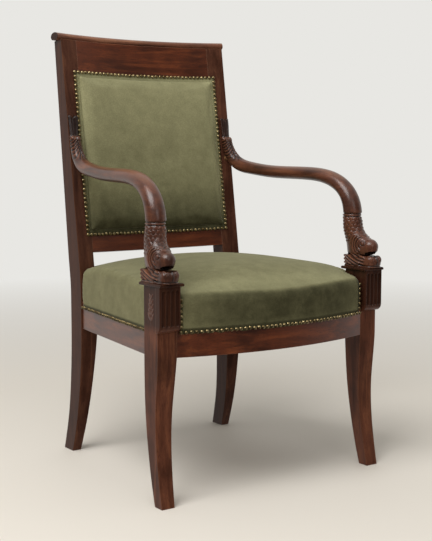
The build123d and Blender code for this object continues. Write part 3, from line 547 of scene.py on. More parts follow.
def remesh(mesh: Mesh, voxel: float, rounds: int) -> None:
    """Join overlapping closed forms into one even skin.

    Args:
        mesh: forms in millimetres, replaced by the skin.
        voxel: size of the skin's faces.
        rounds: how often the skin is smoothed.
    """
    rough = bpy.data.meshes.new("rough")
    mesh.to_mesh(rough)
    holder = bpy.data.objects.new("rough", rough)
    bpy.context.scene.collection.objects.link(holder)
    modifier = holder.modifiers.new("skin", "REMESH")
    modifier.mode = "VOXEL"
    modifier.voxel_size = voxel
    graph = bpy.context.evaluated_depsgraph_get()
    skin = bpy.data.meshes.new_from_object(holder.evaluated_get(graph))
    mesh.clear()
    mesh.from_mesh(skin)
    bpy.data.objects.remove(holder)
    bpy.data.meshes.remove(rough)
    bpy.data.meshes.remove(skin)
    smooth(mesh, rounds)


def plump(mesh: Mesh, held: Callable[[Vector], bool], cap: float) -> None:
    """Swell a stuffed form by cloth simulation with air pressure.

    Args:
        mesh: closed form in millimetres, moved in place.
        held: says of a place whether the cloth is nailed there.
        cap: farthest that a point may move.
    """
    start = points_of(mesh)
    data = bpy.data.meshes.new("pad")
    mesh.to_mesh(data)
    data.transform(TO_METRES)
    pad = bpy.data.objects.new("pad", data)
    scene = bpy.context.scene
    scene.collection.objects.link(pad)
    group = pad.vertex_groups.new(name="held")
    group.add([v.index for v in mesh.verts if held(v.co)], 1.0, "ADD")
    settings = pad.modifiers.new("cloth", "CLOTH").settings
    settings.quality = CLOTH_QUALITY
    settings.use_pressure = True
    settings.uniform_pressure_force = CLOTH_PRESSURE
    settings.vertex_group_mass = "held"
    settings.effector_weights.gravity = 0.0
    for number in range(1, CLOTH_FRAMES + 1):
        scene.frame_set(number)
    graph = bpy.context.evaluated_depsgraph_get()
    blown = pad.evaluated_get(graph).to_mesh()
    move = np.array([v.co for v in blown.vertices], float) / MM - start
    scene.frame_set(1)
    bpy.data.objects.remove(pad)
    bpy.data.meshes.remove(data)
    far = np.linalg.norm(move, axis=1, keepdims=True)
    set_points(mesh, start + move * np.minimum(1.0, cap / np.maximum(far, 1e-6)))


def show(
    mesh: Mesh,
    name: str,
    material: Material,
    nodes: Iterable[str] = (),
    crease: float = 40.0,
) -> bpy.types.Object:
    """Turn a finished mesh into a piece that rides on the chair.

    Args:
        mesh: the piece in millimetres, freed here.
        name: the piece's name.
        material: its finish.
        nodes: CAD nodes that the piece stands for.
        crease: edges sharper than this many degrees stay sharp.

    Returns:
        The piece.
    """
    bmesh.ops.transform(mesh, matrix=TO_FRAME, verts=mesh.verts)
    data = bpy.data.meshes.new(name)
    mesh.to_mesh(data)
    mesh.free()
    data.shade_smooth()
    data.set_sharp_from_angle(angle=radians(crease))
    data.materials.append(material)
    piece = bpy.data.objects.new(name, data)
    bpy.context.scene.collection.objects.link(piece)
    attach(piece, "root")
    if nodes:
        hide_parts(*nodes)
    LOG.info("%s: %d faces", name, len(data.polygons))
    return piece


def show_pair(mesh: Mesh, name: str, material: Material, crease: float, node: str = "") -> None:
    """Show a carved right-hand piece and its mirror image.

    Args:
        mesh: the right-hand piece in millimetres.
        name: the pieces' name after right or left.
        material: their finish.
        crease: edges sharper than this many degrees stay sharp.
        node: name, after right or left, of the CAD nodes that they stand for, if any.
    """
    twin = mesh.copy()
    bmesh.ops.scale(twin, vec=(-1.0, 1.0, 1.0), verts=twin.verts)
    bmesh.ops.reverse_faces(twin, faces=twin.faces)
    for side, half in zip(Side, (mesh, twin)):
        hand = side.name.lower()
        show(half, f"{hand}_{name}", material, (f"{hand}_{node}",) if node else (), crease)


def thicken(piece: bpy.types.Object, thickness: float, offset: float = -1.0) -> None:
    """Give a skin the thickness of its cloth.

    Args:
        piece: the skin's piece.
        thickness: the cloth's thickness in millimetres.
        offset: -1 to thicken it inwards, 0 to both sides.
    """
    wall = piece.modifiers.new("cloth", "SOLIDIFY")
    wall.thickness = thickness * MM
    wall.offset = offset


def node_copy(node: str) -> Mesh:
    """Copy a CAD node's mesh and merge its loose triangles.

    Args:
        node: the node's name.

    Returns:
        The copy, in millimetres.
    """
    mesh = bmesh.new()
    mesh.from_mesh(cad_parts[node].data)
    bmesh.ops.transform(mesh, matrix=FROM_FRAME, verts=mesh.verts)
    bmesh.ops.remove_doubles(mesh, verts=mesh.verts, dist=0.01)
    return mesh


def add_ball(mesh: Mesh, centre: Sequence[float], radii: Triple, faces: int, tilt: float = 0.0) -> None:
    """Add a closed oval form.

    Args:
        mesh: mesh that gets it.
        centre: its middle.
        radii: its half sizes before it is turned.
        faces: faces round its middle.
        tilt: its turn about X in degrees.
    """
    turn = Matrix.Rotation(radians(tilt), 4, "X")
    place = Matrix.Translation(centre) @ turn @ Matrix.Diagonal((*radii, 1.0))
    bmesh.ops.create_uvsphere(mesh, u_segments=faces, v_segments=faces // 2, radius=1.0, matrix=place)


@dataclass
class WoodFrame:
    """Mahogany frame and hidden beech pieces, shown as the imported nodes."""

    # Ends of the names of the nodes that share a finish
    legs: tuple[str, ...] = ("front_leg", "block_cap")
    stiles: tuple[str, ...] = ("rear_stile",)
    across: tuple[str, ...] = ("front_rail", "rear_rail", "back_rail", "crest_rail")
    roll: tuple[str, ...] = ("crest_roll",)
    deep: tuple[str, ...] = ("side_rail",)
    hidden: tuple[str, ...] = ("corner_brace", "dowels")
    # Height above which the legs are darker
    dusk_z: float = 338.0

    def dress(self) -> None:
        """Give every wooden node its finish."""
        leg = Mahogany("polished_mahogany_leg", Grain.UPRIGHT, gloss=0.15, dusk_mm=self.dusk_z)
        # The stiles' faces to the left and right are painted darker as shade
        stile = Mahogany(
            "polished_mahogany_stile", Grain.UPRIGHT, dark="#321b11", middle="#503023", light="#704833",
            pore_and_shade="#2a1209", gloss=0.12, side_shade=0.55,
        )
        across = Mahogany(
            "polished_mahogany_across", Grain.ACROSS, dark="#381809", middle="#592811", light="#83421c",
        )
        # The roll's ends, turned to the left and right, are painted darker as shade
        roll = Mahogany(
            "worn_mahogany_roll", Grain.ACROSS, dark="#4f2c1b", middle="#744732", light="#9b6c4e", side_shade=0.85,
        )
        deep = Mahogany("polished_mahogany_deep", Grain.DEEP)
        for ends, finish in (
            (self.legs, leg), (self.stiles, stile), (self.across, across), (self.roll, roll),
            (self.deep, deep), (self.hidden, Beech()),
        ):
            material = finish.material()
            for node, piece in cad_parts.items():
                if node.endswith(ends):
                    piece.data.materials.clear()
                    piece.data.materials.append(material)
                    LOG.info("%s: %s", node, material.name)


@dataclass
class SeatUpholstery:
    """Stuffed seat in velvet over hessian and webbing, with its hem nailed to the rails."""

    # Corners cut out for the posts and stiles, the bowed front and the faces of the rails
    post_x: float = 229.7
    post_rear_y: float = -195.7
    stile_x: float = 173.7
    stile_y: float = 161.7
    front_y: float = -281.0
    front_radius: float = 733.4
    side_front_x: float = 262.0
    side_rear_x: float = 211.0
    side_front_y: float = -196.0
    side_length: float = 358.0
    rear_y: float = 198.0
    hem_z: float = 325.0
    rail_top_z: float = 342.0
    cloth_out: float = 2.6
    # Block that the seat is shaped from: its flat top, the foot of its folds and its length below the hem
    flat_z: float = 470.0
    fold_z: float = 430.0
    spare: float = 6.0
    front_fold: float = 26.0
    side_fold: float = 32.0
    # Edges that are folded: those in front of a depth, and long ones far out to the side
    front_edge_y: float = -240.0
    side_edge_x: float = 200.0
    side_edge_length: float = 100.0
    # Skin: the sizes of its faces, its swelling, the height up to which it is held, and the cloth's thickness
    coarse_voxel: float = 7.0
    fine_voxel: float = 4.5
    swell: float = 2.0
    swell_cap: float = 5.0
    held_height: float = 3.0
    cloth: float = 1.6
    # Point in the stuffing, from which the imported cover's outer faces are told
    core: Triple = (0.0, -40.0, 370.0)
    # Height of the top along the middle and far out to the side, as shares of its rise
    crown_base: float = 396.0
    crown_rise: float = 53.5
    crown_reach: float = 292.0
    crown_blur: float = 22.0
    crown_y: tuple[float, ...] = (-301.0, -244.0, -196.0, -149.5, -74.3, 0.9, 101.1, 151.3, 218.0)
    crown_middle: tuple[float, ...] = (-0.19, 0.34, 0.65, 0.84, 0.97, 1.0, 0.88, 0.75, 0.52)
    crown_aside: tuple[float, ...] = (-0.35, 0.04, 0.14, 0.28, 0.34, 0.32, 0.20, -0.02, -0.30)
    # Painted light and shade of the front, top and sides, and what changes it
    front_light: float = 0.06
    top_light: float = 0.60
    side_light: float = 0.53
    end_light: Fade = Fade(150.0, 222.0, 0.22)
    low_light: Fade = Fade(352.0, 334.0, 0.12)
    left_light: Fade = Fade(60.0, 190.0, 0.10)
    right_light: Fade = Fade(0.0, 180.0, 0.08)
    edge_light: Ridge = Ridge(-238.0, 32.0, 0.16)
    faces_front: Fade = Fade(0.35, 0.85)
    faces_side: Fade = Fade(0.45, 0.9)
    faces_up: Fade = Fade(0.5, 0.9)
    # Where the nails' painted shadow lies along the hem: low on the front and sides, and up beside the posts
    low_hem: Fade = Fade(337.5, 335.0)
    post_hem: Fade = Fade(218.0, 220.0)
    # Webbing and hessian
    web_width: float = 50.0
    web_thickness: float = 1.3
    web_wave: float = 0.75
    web_half_wave: float = 107.0
    web_step_x: float = 110.0
    web_step_y: float = 105.0
    web_inset: float = 12.0
    web_rear_y: float = 186.0
    web_rise: float = 1.6
    # Straps lie flat at their ends and rise to the full wave over this length
    web_flat_end: float = 16.0
    web_ease: float = 20.0
    hessian_z: float = 345.3
    hessian_inset: float = 2.8
    hessian_thickness: float = 0.6

    def front_arc(self, x: float, out: float) -> float:
        """Depth of the bowed front at x, grown by out."""
        return self.front_y + self.front_radius - sqrt(self.front_radius**2 - x**2) - out

    def side_x(self, y: float, out: float) -> float:
        """Outer face of the right rail at y, grown by out."""
        share = (y - self.side_front_y) / self.side_length
        return self.side_front_x + share * (self.side_rear_x - self.side_front_x) + out

    def outline(self, out: float, steps: int = 36) -> list[tuple[float, float]]:
        """Plan of the seat: bowed front, right side, rear and left side, with corners for posts and stiles.

        Args:
            out: distance beyond the rails' faces.
            steps: parts of the front curve.

        Returns:
            Points round the seat, anticlockwise from the front's left end.
        """
        xs = [self.post_x * (2 * i / steps - 1) for i in range(steps + 1)]
        front = [(x, self.front_arc(x, out)) for x in xs]
        right = [
            (self.post_x, self.post_rear_y),
            (self.side_x(self.post_rear_y, out), self.post_rear_y),
            (self.side_x(self.stile_y, out), self.stile_y),
            (self.stile_x, self.stile_y),
            (self.stile_x, self.rear_y + out),
        ]
        return [*front, *right, *((-x, y) for x, y in reversed(right))]

    def crown(self, x: np.ndarray, y: np.ndarray) -> np.ndarray:
        """Height of the seat's top at each place.

        Args:
            x: places across the seat.
            y: places from its front to its rear.

        Returns:
            The heights.
        """
        fine = np.linspace(self.crown_y[0], self.crown_y[-1], 200)
        blur = np.exp(-(((fine[:, None] - fine[None, :]) / self.crown_blur) ** 2))
        blur /= blur.sum(axis=1, keepdims=True)
        middle, aside = (
            np.interp(y, fine, blur @ np.interp(fine, self.crown_y, shares))
            for shares in (self.crown_middle, self.crown_aside)
        )
        share = middle - (middle - aside) * (x / self.crown_reach) ** 2
        return self.crown_base + self.crown_rise * share

    def block(self) -> Mesh:
        """Flat-topped block on the seat's plan, with its front and side edges folded over.

        Returns:
            The block.
        """
        mesh = bmesh.new()
        plan = self.outline(self.cloth_out - self.swell)
        foot_z = self.hem_z - self.spare
        base = mesh.faces.new([mesh.verts.new((x, y, foot_z)) for x, y in plan])
        grown = bmesh.ops.extrude_face_region(mesh, geom=[base])
        top = [item for item in grown["geom"] if isinstance(item, bmesh.types.BMVert)]
        bmesh.ops.translate(mesh, vec=(0, 0, self.flat_z - foot_z), verts=top)
        bmesh.ops.recalc_face_normals(mesh, faces=mesh.faces)
        for test, fold in ((self.on_front, self.front_fold), (self.on_side, self.side_fold)):
            rim = [
                e for e in mesh.edges
                if all(abs(v.co.z - self.flat_z) < 0.1 for v in e.verts) and test(*(v.co for v in e.verts))
            ]
            bmesh.ops.bevel(
                mesh, geom=rim, offset=fold, segments=8, profile=0.5, affect="EDGES", material=-1,
                clamp_overlap=False,
            )
        return mesh

    def on_front(self, a: Vector, b: Vector) -> bool:
        """Whether an edge from a to b lies on the bowed front."""
        return max(a.y, b.y) < self.front_edge_y

    def on_side(self, a: Vector, b: Vector) -> bool:
        """Whether an edge from a to b runs along a side rail."""
        return min(abs(a.x), abs(b.x)) > self.side_edge_x and abs(a.y - b.y) > self.side_edge_length

    def shape(self, mesh: Mesh) -> None:
        """Lower the block's flat top to the seat's crown and squeeze the walls under it.

        Args:
            mesh: the block, moved in place.
        """
        places = points_of(mesh)
        drop = self.flat_z - self.crown(places[:, 0], places[:, 1])
        share = (places[:, 2] - self.rail_top_z) / (self.fold_z - self.rail_top_z)
        places[:, 2] -= np.clip(share, 0.0, 1.0) * drop
        set_points(mesh, places)

    def fit(self, mesh: Mesh) -> None:
        """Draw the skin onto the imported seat's outer face, set in by the swelling that follows.

        Args:
            mesh: the skin, moved in place.
        """
        solid = node_copy("seat_cover")
        solid.normal_update()
        core = Vector(self.core)
        inner = [f for f in solid.faces if f.normal.dot(f.calc_center_median() - core) < 1.0]
        bmesh.ops.delete(solid, geom=inner, context="FACES")
        tree = BVHTree.FromBMesh(solid)
        for vert in mesh.verts:
            if vert.co.z > self.rail_top_z:
                near, normal, _, _ = tree.find_nearest(vert.co)
                vert.co = near - normal * self.swell
        solid.free()

    def clear_of_wood(self, mesh: Mesh) -> None:
        """Press the cloth back to the nearer face where it would enter a post or a stile.

        Args:
            mesh: the skin, moved in place.
        """
        places = points_of(mesh)
        x, y = np.abs(places[:, 0]), places[:, 1].copy()
        for wood_x, wood_y, rearward in (
            (self.post_x, self.post_rear_y, -1), (self.stile_x, self.stile_y, 1),
        ):
            deep_x, deep_y = x - wood_x, rearward * (y - wood_y)
            inside = (deep_x > 0) & (deep_y > 0)
            x = np.where(inside & (deep_x < deep_y), wood_x, x)
            y = np.where(inside & (deep_x >= deep_y), wood_y, y)
        places[:, 0] = np.sign(places[:, 0]) * x
        places[:, 1] = y
        set_points(mesh, places)

    def painted_light(self, mesh: Mesh) -> np.ndarray:
        """Painted light and shade of the seat's velvet: lit on the top and its front edge, shaded down the
        front.

        Args:
            mesh: the seat's skin.

        Returns:
            The painted light at each point.
        """
        # Painted light and shade by the way each face turns: shaded on the front, lit on the top and its
        # front edge
        x, y, z = points_of(mesh).T
        normals = normals_of(mesh)
        ahead = self.faces_front.at(-normals[:, 1])
        front = self.front_light + self.end_light.at(np.abs(x)) + self.low_light.at(z) + self.left_light.at(-x)
        top = self.top_light + self.edge_light.at(y) * self.faces_up.at(normals[:, 2]) + self.right_light.at(x)
        flat = top + (self.side_light - top) * self.faces_side.at(np.abs(normals[:, 0]))
        painted_light = flat + (front - flat) * ahead
        # Painted shadow of the nails along the hem
        hem = np.maximum(self.low_hem.at(z), ahead * self.post_hem.at(np.abs(x)))
        return painted_light + (NAIL_SHADOW_LEVEL - painted_light) * hem

    def build_cover(self, velvet: Material) -> None:
        """Build the velvet seat as one swollen skin, open below.

        Args:
            velvet: the cover's finish.
        """
        mesh = self.block()
        remesh(mesh, self.coarse_voxel, 0)
        self.shape(mesh)
        remesh(mesh, self.fine_voxel, 2)
        self.fit(mesh)
        plump(mesh, lambda place: place.z < self.rail_top_z + self.held_height, self.swell_cap)
        smooth(mesh)
        self.clear_of_wood(mesh)
        cut_below(mesh, self.hem_z)
        set_values(mesh, PAINTED_LIGHT, self.painted_light(mesh))
        piece = show(mesh, "seat_velvet", velvet, ("seat_cover", "seat_stuffing"), crease=70.0)
        thicken(piece, self.cloth)

    def build_hessian(self, hessian: Material) -> None:
        """Stretch the hessian over the webbing.

        Args:
            hessian: the cloth's finish.
        """
        mesh = bmesh.new()
        plan = self.outline(-self.hessian_inset)
        face = mesh.faces.new([mesh.verts.new((x, y, self.hessian_z)) for x, y in plan])
        area = face.calc_area() * MM * MM
        bmesh.ops.triangulate(mesh, faces=mesh.faces)
        bmesh.ops.recalc_face_normals(mesh, faces=mesh.faces)
        piece = show(mesh, "seat_hessian_sheet", hessian, ("seat_hessian",))
        thicken(piece, self.hessian_thickness)

    def build_webbing(self, webbing: Material) -> None:
        """Interlace three straps from front to rear with three across.

        Args:
            webbing: the straps' finish.
        """
        mesh = bmesh.new()
        middle_y = (self.post_rear_y + self.stile_y) / 2
        half_web = self.web_width / 2
        for i in range(-1, 2):
            x = self.web_step_x * i
            front, rear = self.front_arc(abs(x) + half_web, -self.web_inset), self.web_rear_y
            centre_y = (front + rear) / 2
            self.strap(mesh, (x, centre_y), rear - front, 90.0, middle_y - centre_y, i % 2 == 1)
            y = middle_y + self.web_step_y * i
            length = 2 * self.side_x(y + half_web, -self.web_inset)
            self.strap(mesh, (0.0, y), length, 0.0, 0.0, i % 2 == 0)
        show(mesh, "seat_webbing_straps", webbing, ("seat_webbing",))

    def strap(
        self, mesh: Mesh, centre: tuple[float, float], length: float, turn: float, offset: float, over: bool
    ) -> None:
        """Add one strap that goes over and under the three that cross it.

        Args:
            mesh: mesh that gets it.
            centre: its middle in plan.
            length: its length.
            turn: its heading in degrees.
            offset: place of the middle crossing along it.
            over: whether it lies on top at the middle crossing.
        """
        flat = bmesh.new()
        bmesh.ops.create_grid(flat, x_segments=72, y_segments=4, size=0.5)
        for vert in flat.verts:
            along = vert.co.x * length
            wave = (1 if over else -1) * cos(pi * (along - offset) / self.web_half_wave)
            inside = (length / 2 - abs(along) - self.web_flat_end) / self.web_ease
            rise = self.web_wave * wave * max(0.0, min(1.0, inside))
            vert.co = Vector((along, vert.co.y * self.web_width, rise))
        bmesh.ops.solidify(flat, geom=flat.faces, thickness=self.web_thickness)
        bmesh.ops.recalc_face_normals(flat, faces=flat.faces)
        place = Matrix.Translation((*centre, self.rail_top_z + self.web_rise))
        bmesh.ops.transform(flat, matrix=place @ Matrix.Rotation(radians(turn), 4, "Z"), verts=flat.verts)
        temporary = bpy.data.meshes.new("strap")
        flat.to_mesh(temporary)
        flat.free()
        mesh.from_mesh(temporary)
        bpy.data.meshes.remove(temporary)


@dataclass
class BackUpholstery:
    """Stuffed velvet panel in the back's frame, and the flat velvet panel behind it."""

    # Curve of the back between the outer faces of its stiles
    radius: float = 1050.0
    stile_outer_x: float = 214.0
    # Stuffed panel: its outline, the depths of its edge, its rolled rim and its crown
    half_width: float = 179.6
    bottom: float = 48.6
    top: float = 395.5
    edge: float = 9.0
    rim: float = 3.0
    roll: float = 8.0
    crown: float = 16.5
    # Skin: the size of its faces, its swelling, the depth that is held, and its rounds of smoothing
    voxel: float = 4.0
    swell: float = 4.0
    swell_cap: float = 5.0
    held_depth: float = 1.5
    rounds: int = 5
    # Flat hem round the panel: its width, and the depths of its face and its foot
    hem: float = 7.6
    hem_face: float = 2.4
    hem_foot: float = 0.4
    # Painted light and shade of the panel: up its height, along its rims as painted sheen, and at its hem as
    # the nails' painted shadow
    low_light: float = 0.08
    rise_light: Fade = Fade(-0.02, 0.38, 0.53)
    high_light: Fade = Fade(0.35, 1.0, 0.20)
    right_light: Fade = Fade(0.80, 0.97, 0.16)
    left_light: Fade = Fade(0.80, 0.97, 0.06)
    streak_light: Fade = Fade(0.78, 0.94, 0.13)
    streak_below: Fade = Fade(0.7, 0.35)
    rim_above: Fade = Fade(0.02, 0.22)
    hem_middle: float = 222.0
    side_hem: Fade = Fade(179.5, 182.0)
    end_hem: Fade = Fade(173.5, 176.0)
    # Panel on the rear
    outer_half: float = 184.7
    outer_bottom: float = 43.3
    outer_top: float = 400.8
    outer_depth: float = -23.8
    outer_cloth: float = 1.4
    outer_tone: float = 0.55

    def place(self, x: float, forward: float, up: float) -> Vector:
        """Point of the curved, raked back.

        Args:
            x: place across the chair.
            forward: distance in front of the frame's curve.
            up: distance up the stiles from their bend.

        Returns:
            The point in the chair's frame.
        """
        lean = atan(RAKE)
        centre = -sqrt(self.radius**2 - self.stile_outer_x**2)
        y = centre + sqrt(self.radius**2 - x**2) - forward
        return Vector((
            x,
            BEND_Y + y * cos(lean) + up * sin(lean),
            BEND_Z - y * sin(lean) + up * cos(lean),
        ))

    def bend(self, mesh: Mesh) -> None:
        """Bend a flat form onto the back.

        Args:
            mesh: the form, drawn as across, forward and up, moved in place.
        """
        for vert in mesh.verts:
            vert.co = self.place(*vert.co)
        bmesh.ops.recalc_face_normals(mesh, faces=mesh.faces)

    def painted_light(self, flat: np.ndarray) -> np.ndarray:
        """Painted light and shade of the panel's velvet: lit above, shaded below, with painted sheen along
        its rims.

        Args:
            flat: the panel's points, drawn as across, forward and up.

        Returns:
            The painted light at each point.
        """
        across = flat[:, 0] / self.half_width
        up = (flat[:, 2] - self.bottom) / (self.top - self.bottom)
        rims = self.right_light.at(across) + self.left_light.at(-across)
        rims += self.streak_light.at(across) * self.streak_below.at(up)
        painted_light = self.low_light + self.rise_light.at(up) + self.high_light.at(up) + rims * self.rim_above.at(up)
        # Painted shadow of the nails along the hem
        ends = self.end_hem.at(np.abs(flat[:, 2] - self.hem_middle))
        hem = np.maximum(self.side_hem.at(np.abs(flat[:, 0])), ends)
        return painted_light + (NAIL_SHADOW_LEVEL - painted_light) * hem

    def build_pad(self, velvet: Material) -> None:
        """Build the stuffed panel with its nailed hem.

        Args:
            velvet: the panel's finish.
        """
        mesh = bmesh.new()
        half_height = (self.top - self.bottom) / 2
        middle = (self.top + self.bottom) / 2
        depth = self.edge + self.rim
        size = Matrix.Diagonal((2 * self.half_width, depth, 2 * half_height, 1.0))
        bmesh.ops.create_cube(mesh, size=1.0, matrix=Matrix.Translation((0, depth / 2, middle)) @ size)
        rim = [e for e in mesh.edges if all(v.co.y > self.edge for v in e.verts)]
        bmesh.ops.bevel(
            mesh, geom=rim, offset=self.roll, segments=5, profile=0.5, affect="EDGES", material=-1
        )
        remesh(mesh, self.voxel, 1)
        places = points_of(mesh)
        across = np.clip(1 - (places[:, 0] / self.half_width) ** 2, 0, 1)
        upward = np.clip(1 - ((places[:, 2] - middle) / half_height) ** 2, 0, 1)
        lift = (self.crown - self.edge - self.swell) * np.sqrt(across * upward)
        places[:, 1] += np.where(places[:, 1] > self.edge, lift, 0.0)
        set_points(mesh, places)
        plump(mesh, lambda place: place.y < self.held_depth, self.swell_cap)
        smooth(mesh, self.rounds)
        hem = bmesh.ops.create_grid(mesh, x_segments=40, y_segments=40, size=1.0)["verts"]
        for vert in hem:
            x = vert.co.x * (self.half_width + self.hem)
            vert.co = Vector((x, self.hem_face, middle + vert.co.y * (half_height + self.hem)))
        edges = [e for e in mesh.edges if e.is_boundary]
        skirt = bmesh.ops.extrude_edge_only(mesh, edges=edges)["geom"]
        for vert in (item for item in skirt if isinstance(item, bmesh.types.BMVert)):
            vert.co.y = self.hem_foot
        set_values(mesh, PAINTED_LIGHT, self.painted_light(points_of(mesh)))
        self.bend(mesh)
        nodes = ("back_cover", "back_stuffing", "back_hessian", "back_webbing")
        piece = show(mesh, "back_velvet", velvet, nodes, crease=60.0)

    def build_outer(self, velvet: Material) -> None:
        """Build the flat velvet panel on the rear of the back.

        Args:
            velvet: the panel's finish.
        """
        mesh = bmesh.new()
        bmesh.ops.create_grid(mesh, x_segments=48, y_segments=24, size=1.0)
        middle = (self.outer_top + self.outer_bottom) / 2
        tall = (self.outer_top - self.outer_bottom) / 2
        for vert in mesh.verts:
            vert.co = Vector((vert.co.x * self.outer_half, self.outer_depth, middle + vert.co.y * tall))
        set_values(mesh, PAINTED_LIGHT, np.full(len(mesh.verts), self.outer_tone))
        self.bend(mesh)
        bmesh.ops.reverse_faces(mesh, faces=mesh.faces)
        piece = show(mesh, "outer_back_velvet", velvet, ("outer_back_cover",))
        thicken(piece, self.outer_cloth, 0.0)


@dataclass(frozen=True)
class NailedPanel:
    """Rows of nails round a panel of the back: half their width, their lowest and highest, their depth."""

    name: str
    half: float
    low: float
    high: float
    forward: float


@dataclass
class BrassNails:
    """Close rows of domed brass nails along the hems."""

    head_radius: float = 3.8
    head_height: float = 2.6
    pitch: float = 10.0
    # Spread of the heads' tilt and of their places
    tilt: float = 0.06
    slip: float = 0.25
    # Rows along the rails, their ends, and the number of nails up beside each post
    nail_z: float = 330.6
    front_end: float = 223.6
    side_front: float = -189.4
    side_rear: float = 156.0
    rear_end: float = 168.0
    column: int = 6
    side_slant: float = 0.14
    corner_slant: float = 0.3
    front_panel: NailedPanel = NailedPanel("back_nails", 185.0, 43.0, 401.1, 2.3)
    rear_panel: NailedPanel = NailedPanel("outer_back_nails", 179.5, 48.0, 396.0, -24.4)

    def dome(self) -> bpy.types.Mesh:
        """Mesh of one nail's head, its rim at the origin and its dome along Z.

        Returns:
            The mesh.
        """
        mesh = bmesh.new()
        bmesh.ops.create_uvsphere(mesh, u_segments=10, v_segments=6, radius=self.head_radius)
        cut_below(mesh, 0.0)
        bmesh.ops.scale(mesh, vec=(1, 1, self.head_height / self.head_radius), verts=mesh.verts)
        made = bpy.data.meshes.new("nail")
        mesh.to_mesh(made)
        mesh.free()
        return made

    def row(self, start: float, end: float) -> list[float]:
        """Evenly set places from start to end, about a pitch apart."""
        count = max(1, round(abs(end - start) / self.pitch))
        return [start + (end - start) * i / count for i in range(count + 1)]

    def drive(self, name: str, places: Sequence[tuple[Vector, Vector]], brass: Material) -> None:
        """Set nails at places, each facing its direction.

        Args:
            name: the piece's name.
            places: points and outward directions.
            brass: the nails' finish.
        """
        chance = random.Random(len(places))
        dome = self.dome()
        mesh = bmesh.new()
        for point, outward in places:
            known = len(mesh.verts)
            mesh.from_mesh(dome)
            mesh.verts.ensure_lookup_table()
            tilt, slip = (
                Vector([chance.gauss(0, spread) for _ in range(3)]) for spread in (self.tilt, self.slip)
            )
            aim = (outward + tilt).to_track_quat("Z", "Y").to_matrix().to_4x4()
            bmesh.ops.transform(
                mesh, matrix=Matrix.Translation(point + slip) @ aim, verts=mesh.verts[known:]
            )
        bpy.data.meshes.remove(dome)
        show(mesh, name, brass, crease=60.0)

    def build_seat(self, seat: SeatUpholstery, brass: Material, shaded_tarnished: Material) -> None:
        """Nail the seat's hem along its rails and beside the posts.

        Args:
            seat: the seat that the nails hold.
            brass: finish of the nails in front.
            shaded_tarnished: finish of the nails on the sides and the rear.
        """
        out = seat.cloth_out
        ahead, around = [], []
        for x in self.row(-self.front_end, self.front_end):
            outward = Vector((x / seat.front_radius, -1, 0))
            ahead.append((Vector((x, seat.front_arc(x, out), self.nail_z)), outward))
        for side in (s.value for s in Side):
            sideways = Vector((side, self.side_slant, 0))
            for y in self.row(self.side_front, self.side_rear):
                around.append((Vector((side * seat.side_x(y, out), y, self.nail_z)), sideways))
            for i in range(1, self.column + 1):
                z = self.nail_z + i * self.pitch
                front = Vector((side * self.front_end, seat.front_arc(self.front_end, out), z))
                ahead.append((front, Vector((side * self.corner_slant, -1, 0))))
                beside = Vector((side * seat.side_x(self.side_front, out), self.side_front, z))
                around.append((beside, sideways))
        for x in self.row(-self.rear_end, self.rear_end):
            around.append((Vector((x, seat.rear_y + out, self.nail_z)), Vector((0, 1, 0))))
        self.drive("seat_front_nails", ahead, brass)
        # The nails on the sides and the rear are darker brass: tarnish, and painted shade
        self.drive("seat_side_nails", around, shaded_tarnished)

    def build_back(self, back: BackUpholstery, brass: Material) -> None:
        """Nail the hems of the back's front and rear panels.

        Args:
            back: the back that the nails hold.
            brass: the nails' finish.
        """
        for panel in (self.front_panel, self.rear_panel):
            across = self.row(-panel.half, panel.half)
            upward = self.row(panel.low, panel.high)
            edge = [(x, z) for z in (panel.low, panel.high) for x in across]
            edge += [(x, z) for x in (-panel.half, panel.half) for z in upward[1:-1]]
            places = []
            for x, z in edge:
                point = back.place(x, panel.forward, z)
                outward = back.place(x, 2 * panel.forward, z) - point
                places.append((point, outward.normalized()))
            self.drive(panel.name, places, brass)


@dataclass(frozen=True)
class Oval:
    """Oval in or on a dolphin's head, on the head's middle plane or as a pair aside of it."""

    aside: float
    y: float
    z: float
    radii: Triple
    faces: int = 16
    tilt: float = 0.0

    def away(self, local: np.ndarray) -> np.ndarray:
        """Places seen from the oval's middle, in shares of its half sizes."""
        return (local - np.array((self.aside, self.y, self.z))) / np.array(self.radii)

    def dent(self, local: np.ndarray) -> np.ndarray:
        """Push the points that lie inside out to the surface, which hollows a skin.

        Args:
            local: points of the skin, from the head's middle.

        Returns:
            The moved points.
        """
        away = self.away(local)
        far = np.linalg.norm(away, axis=1, keepdims=True)
        return local + away * (1 / np.clip(far, 0.05, 1.0) - 1) * np.array(self.radii)


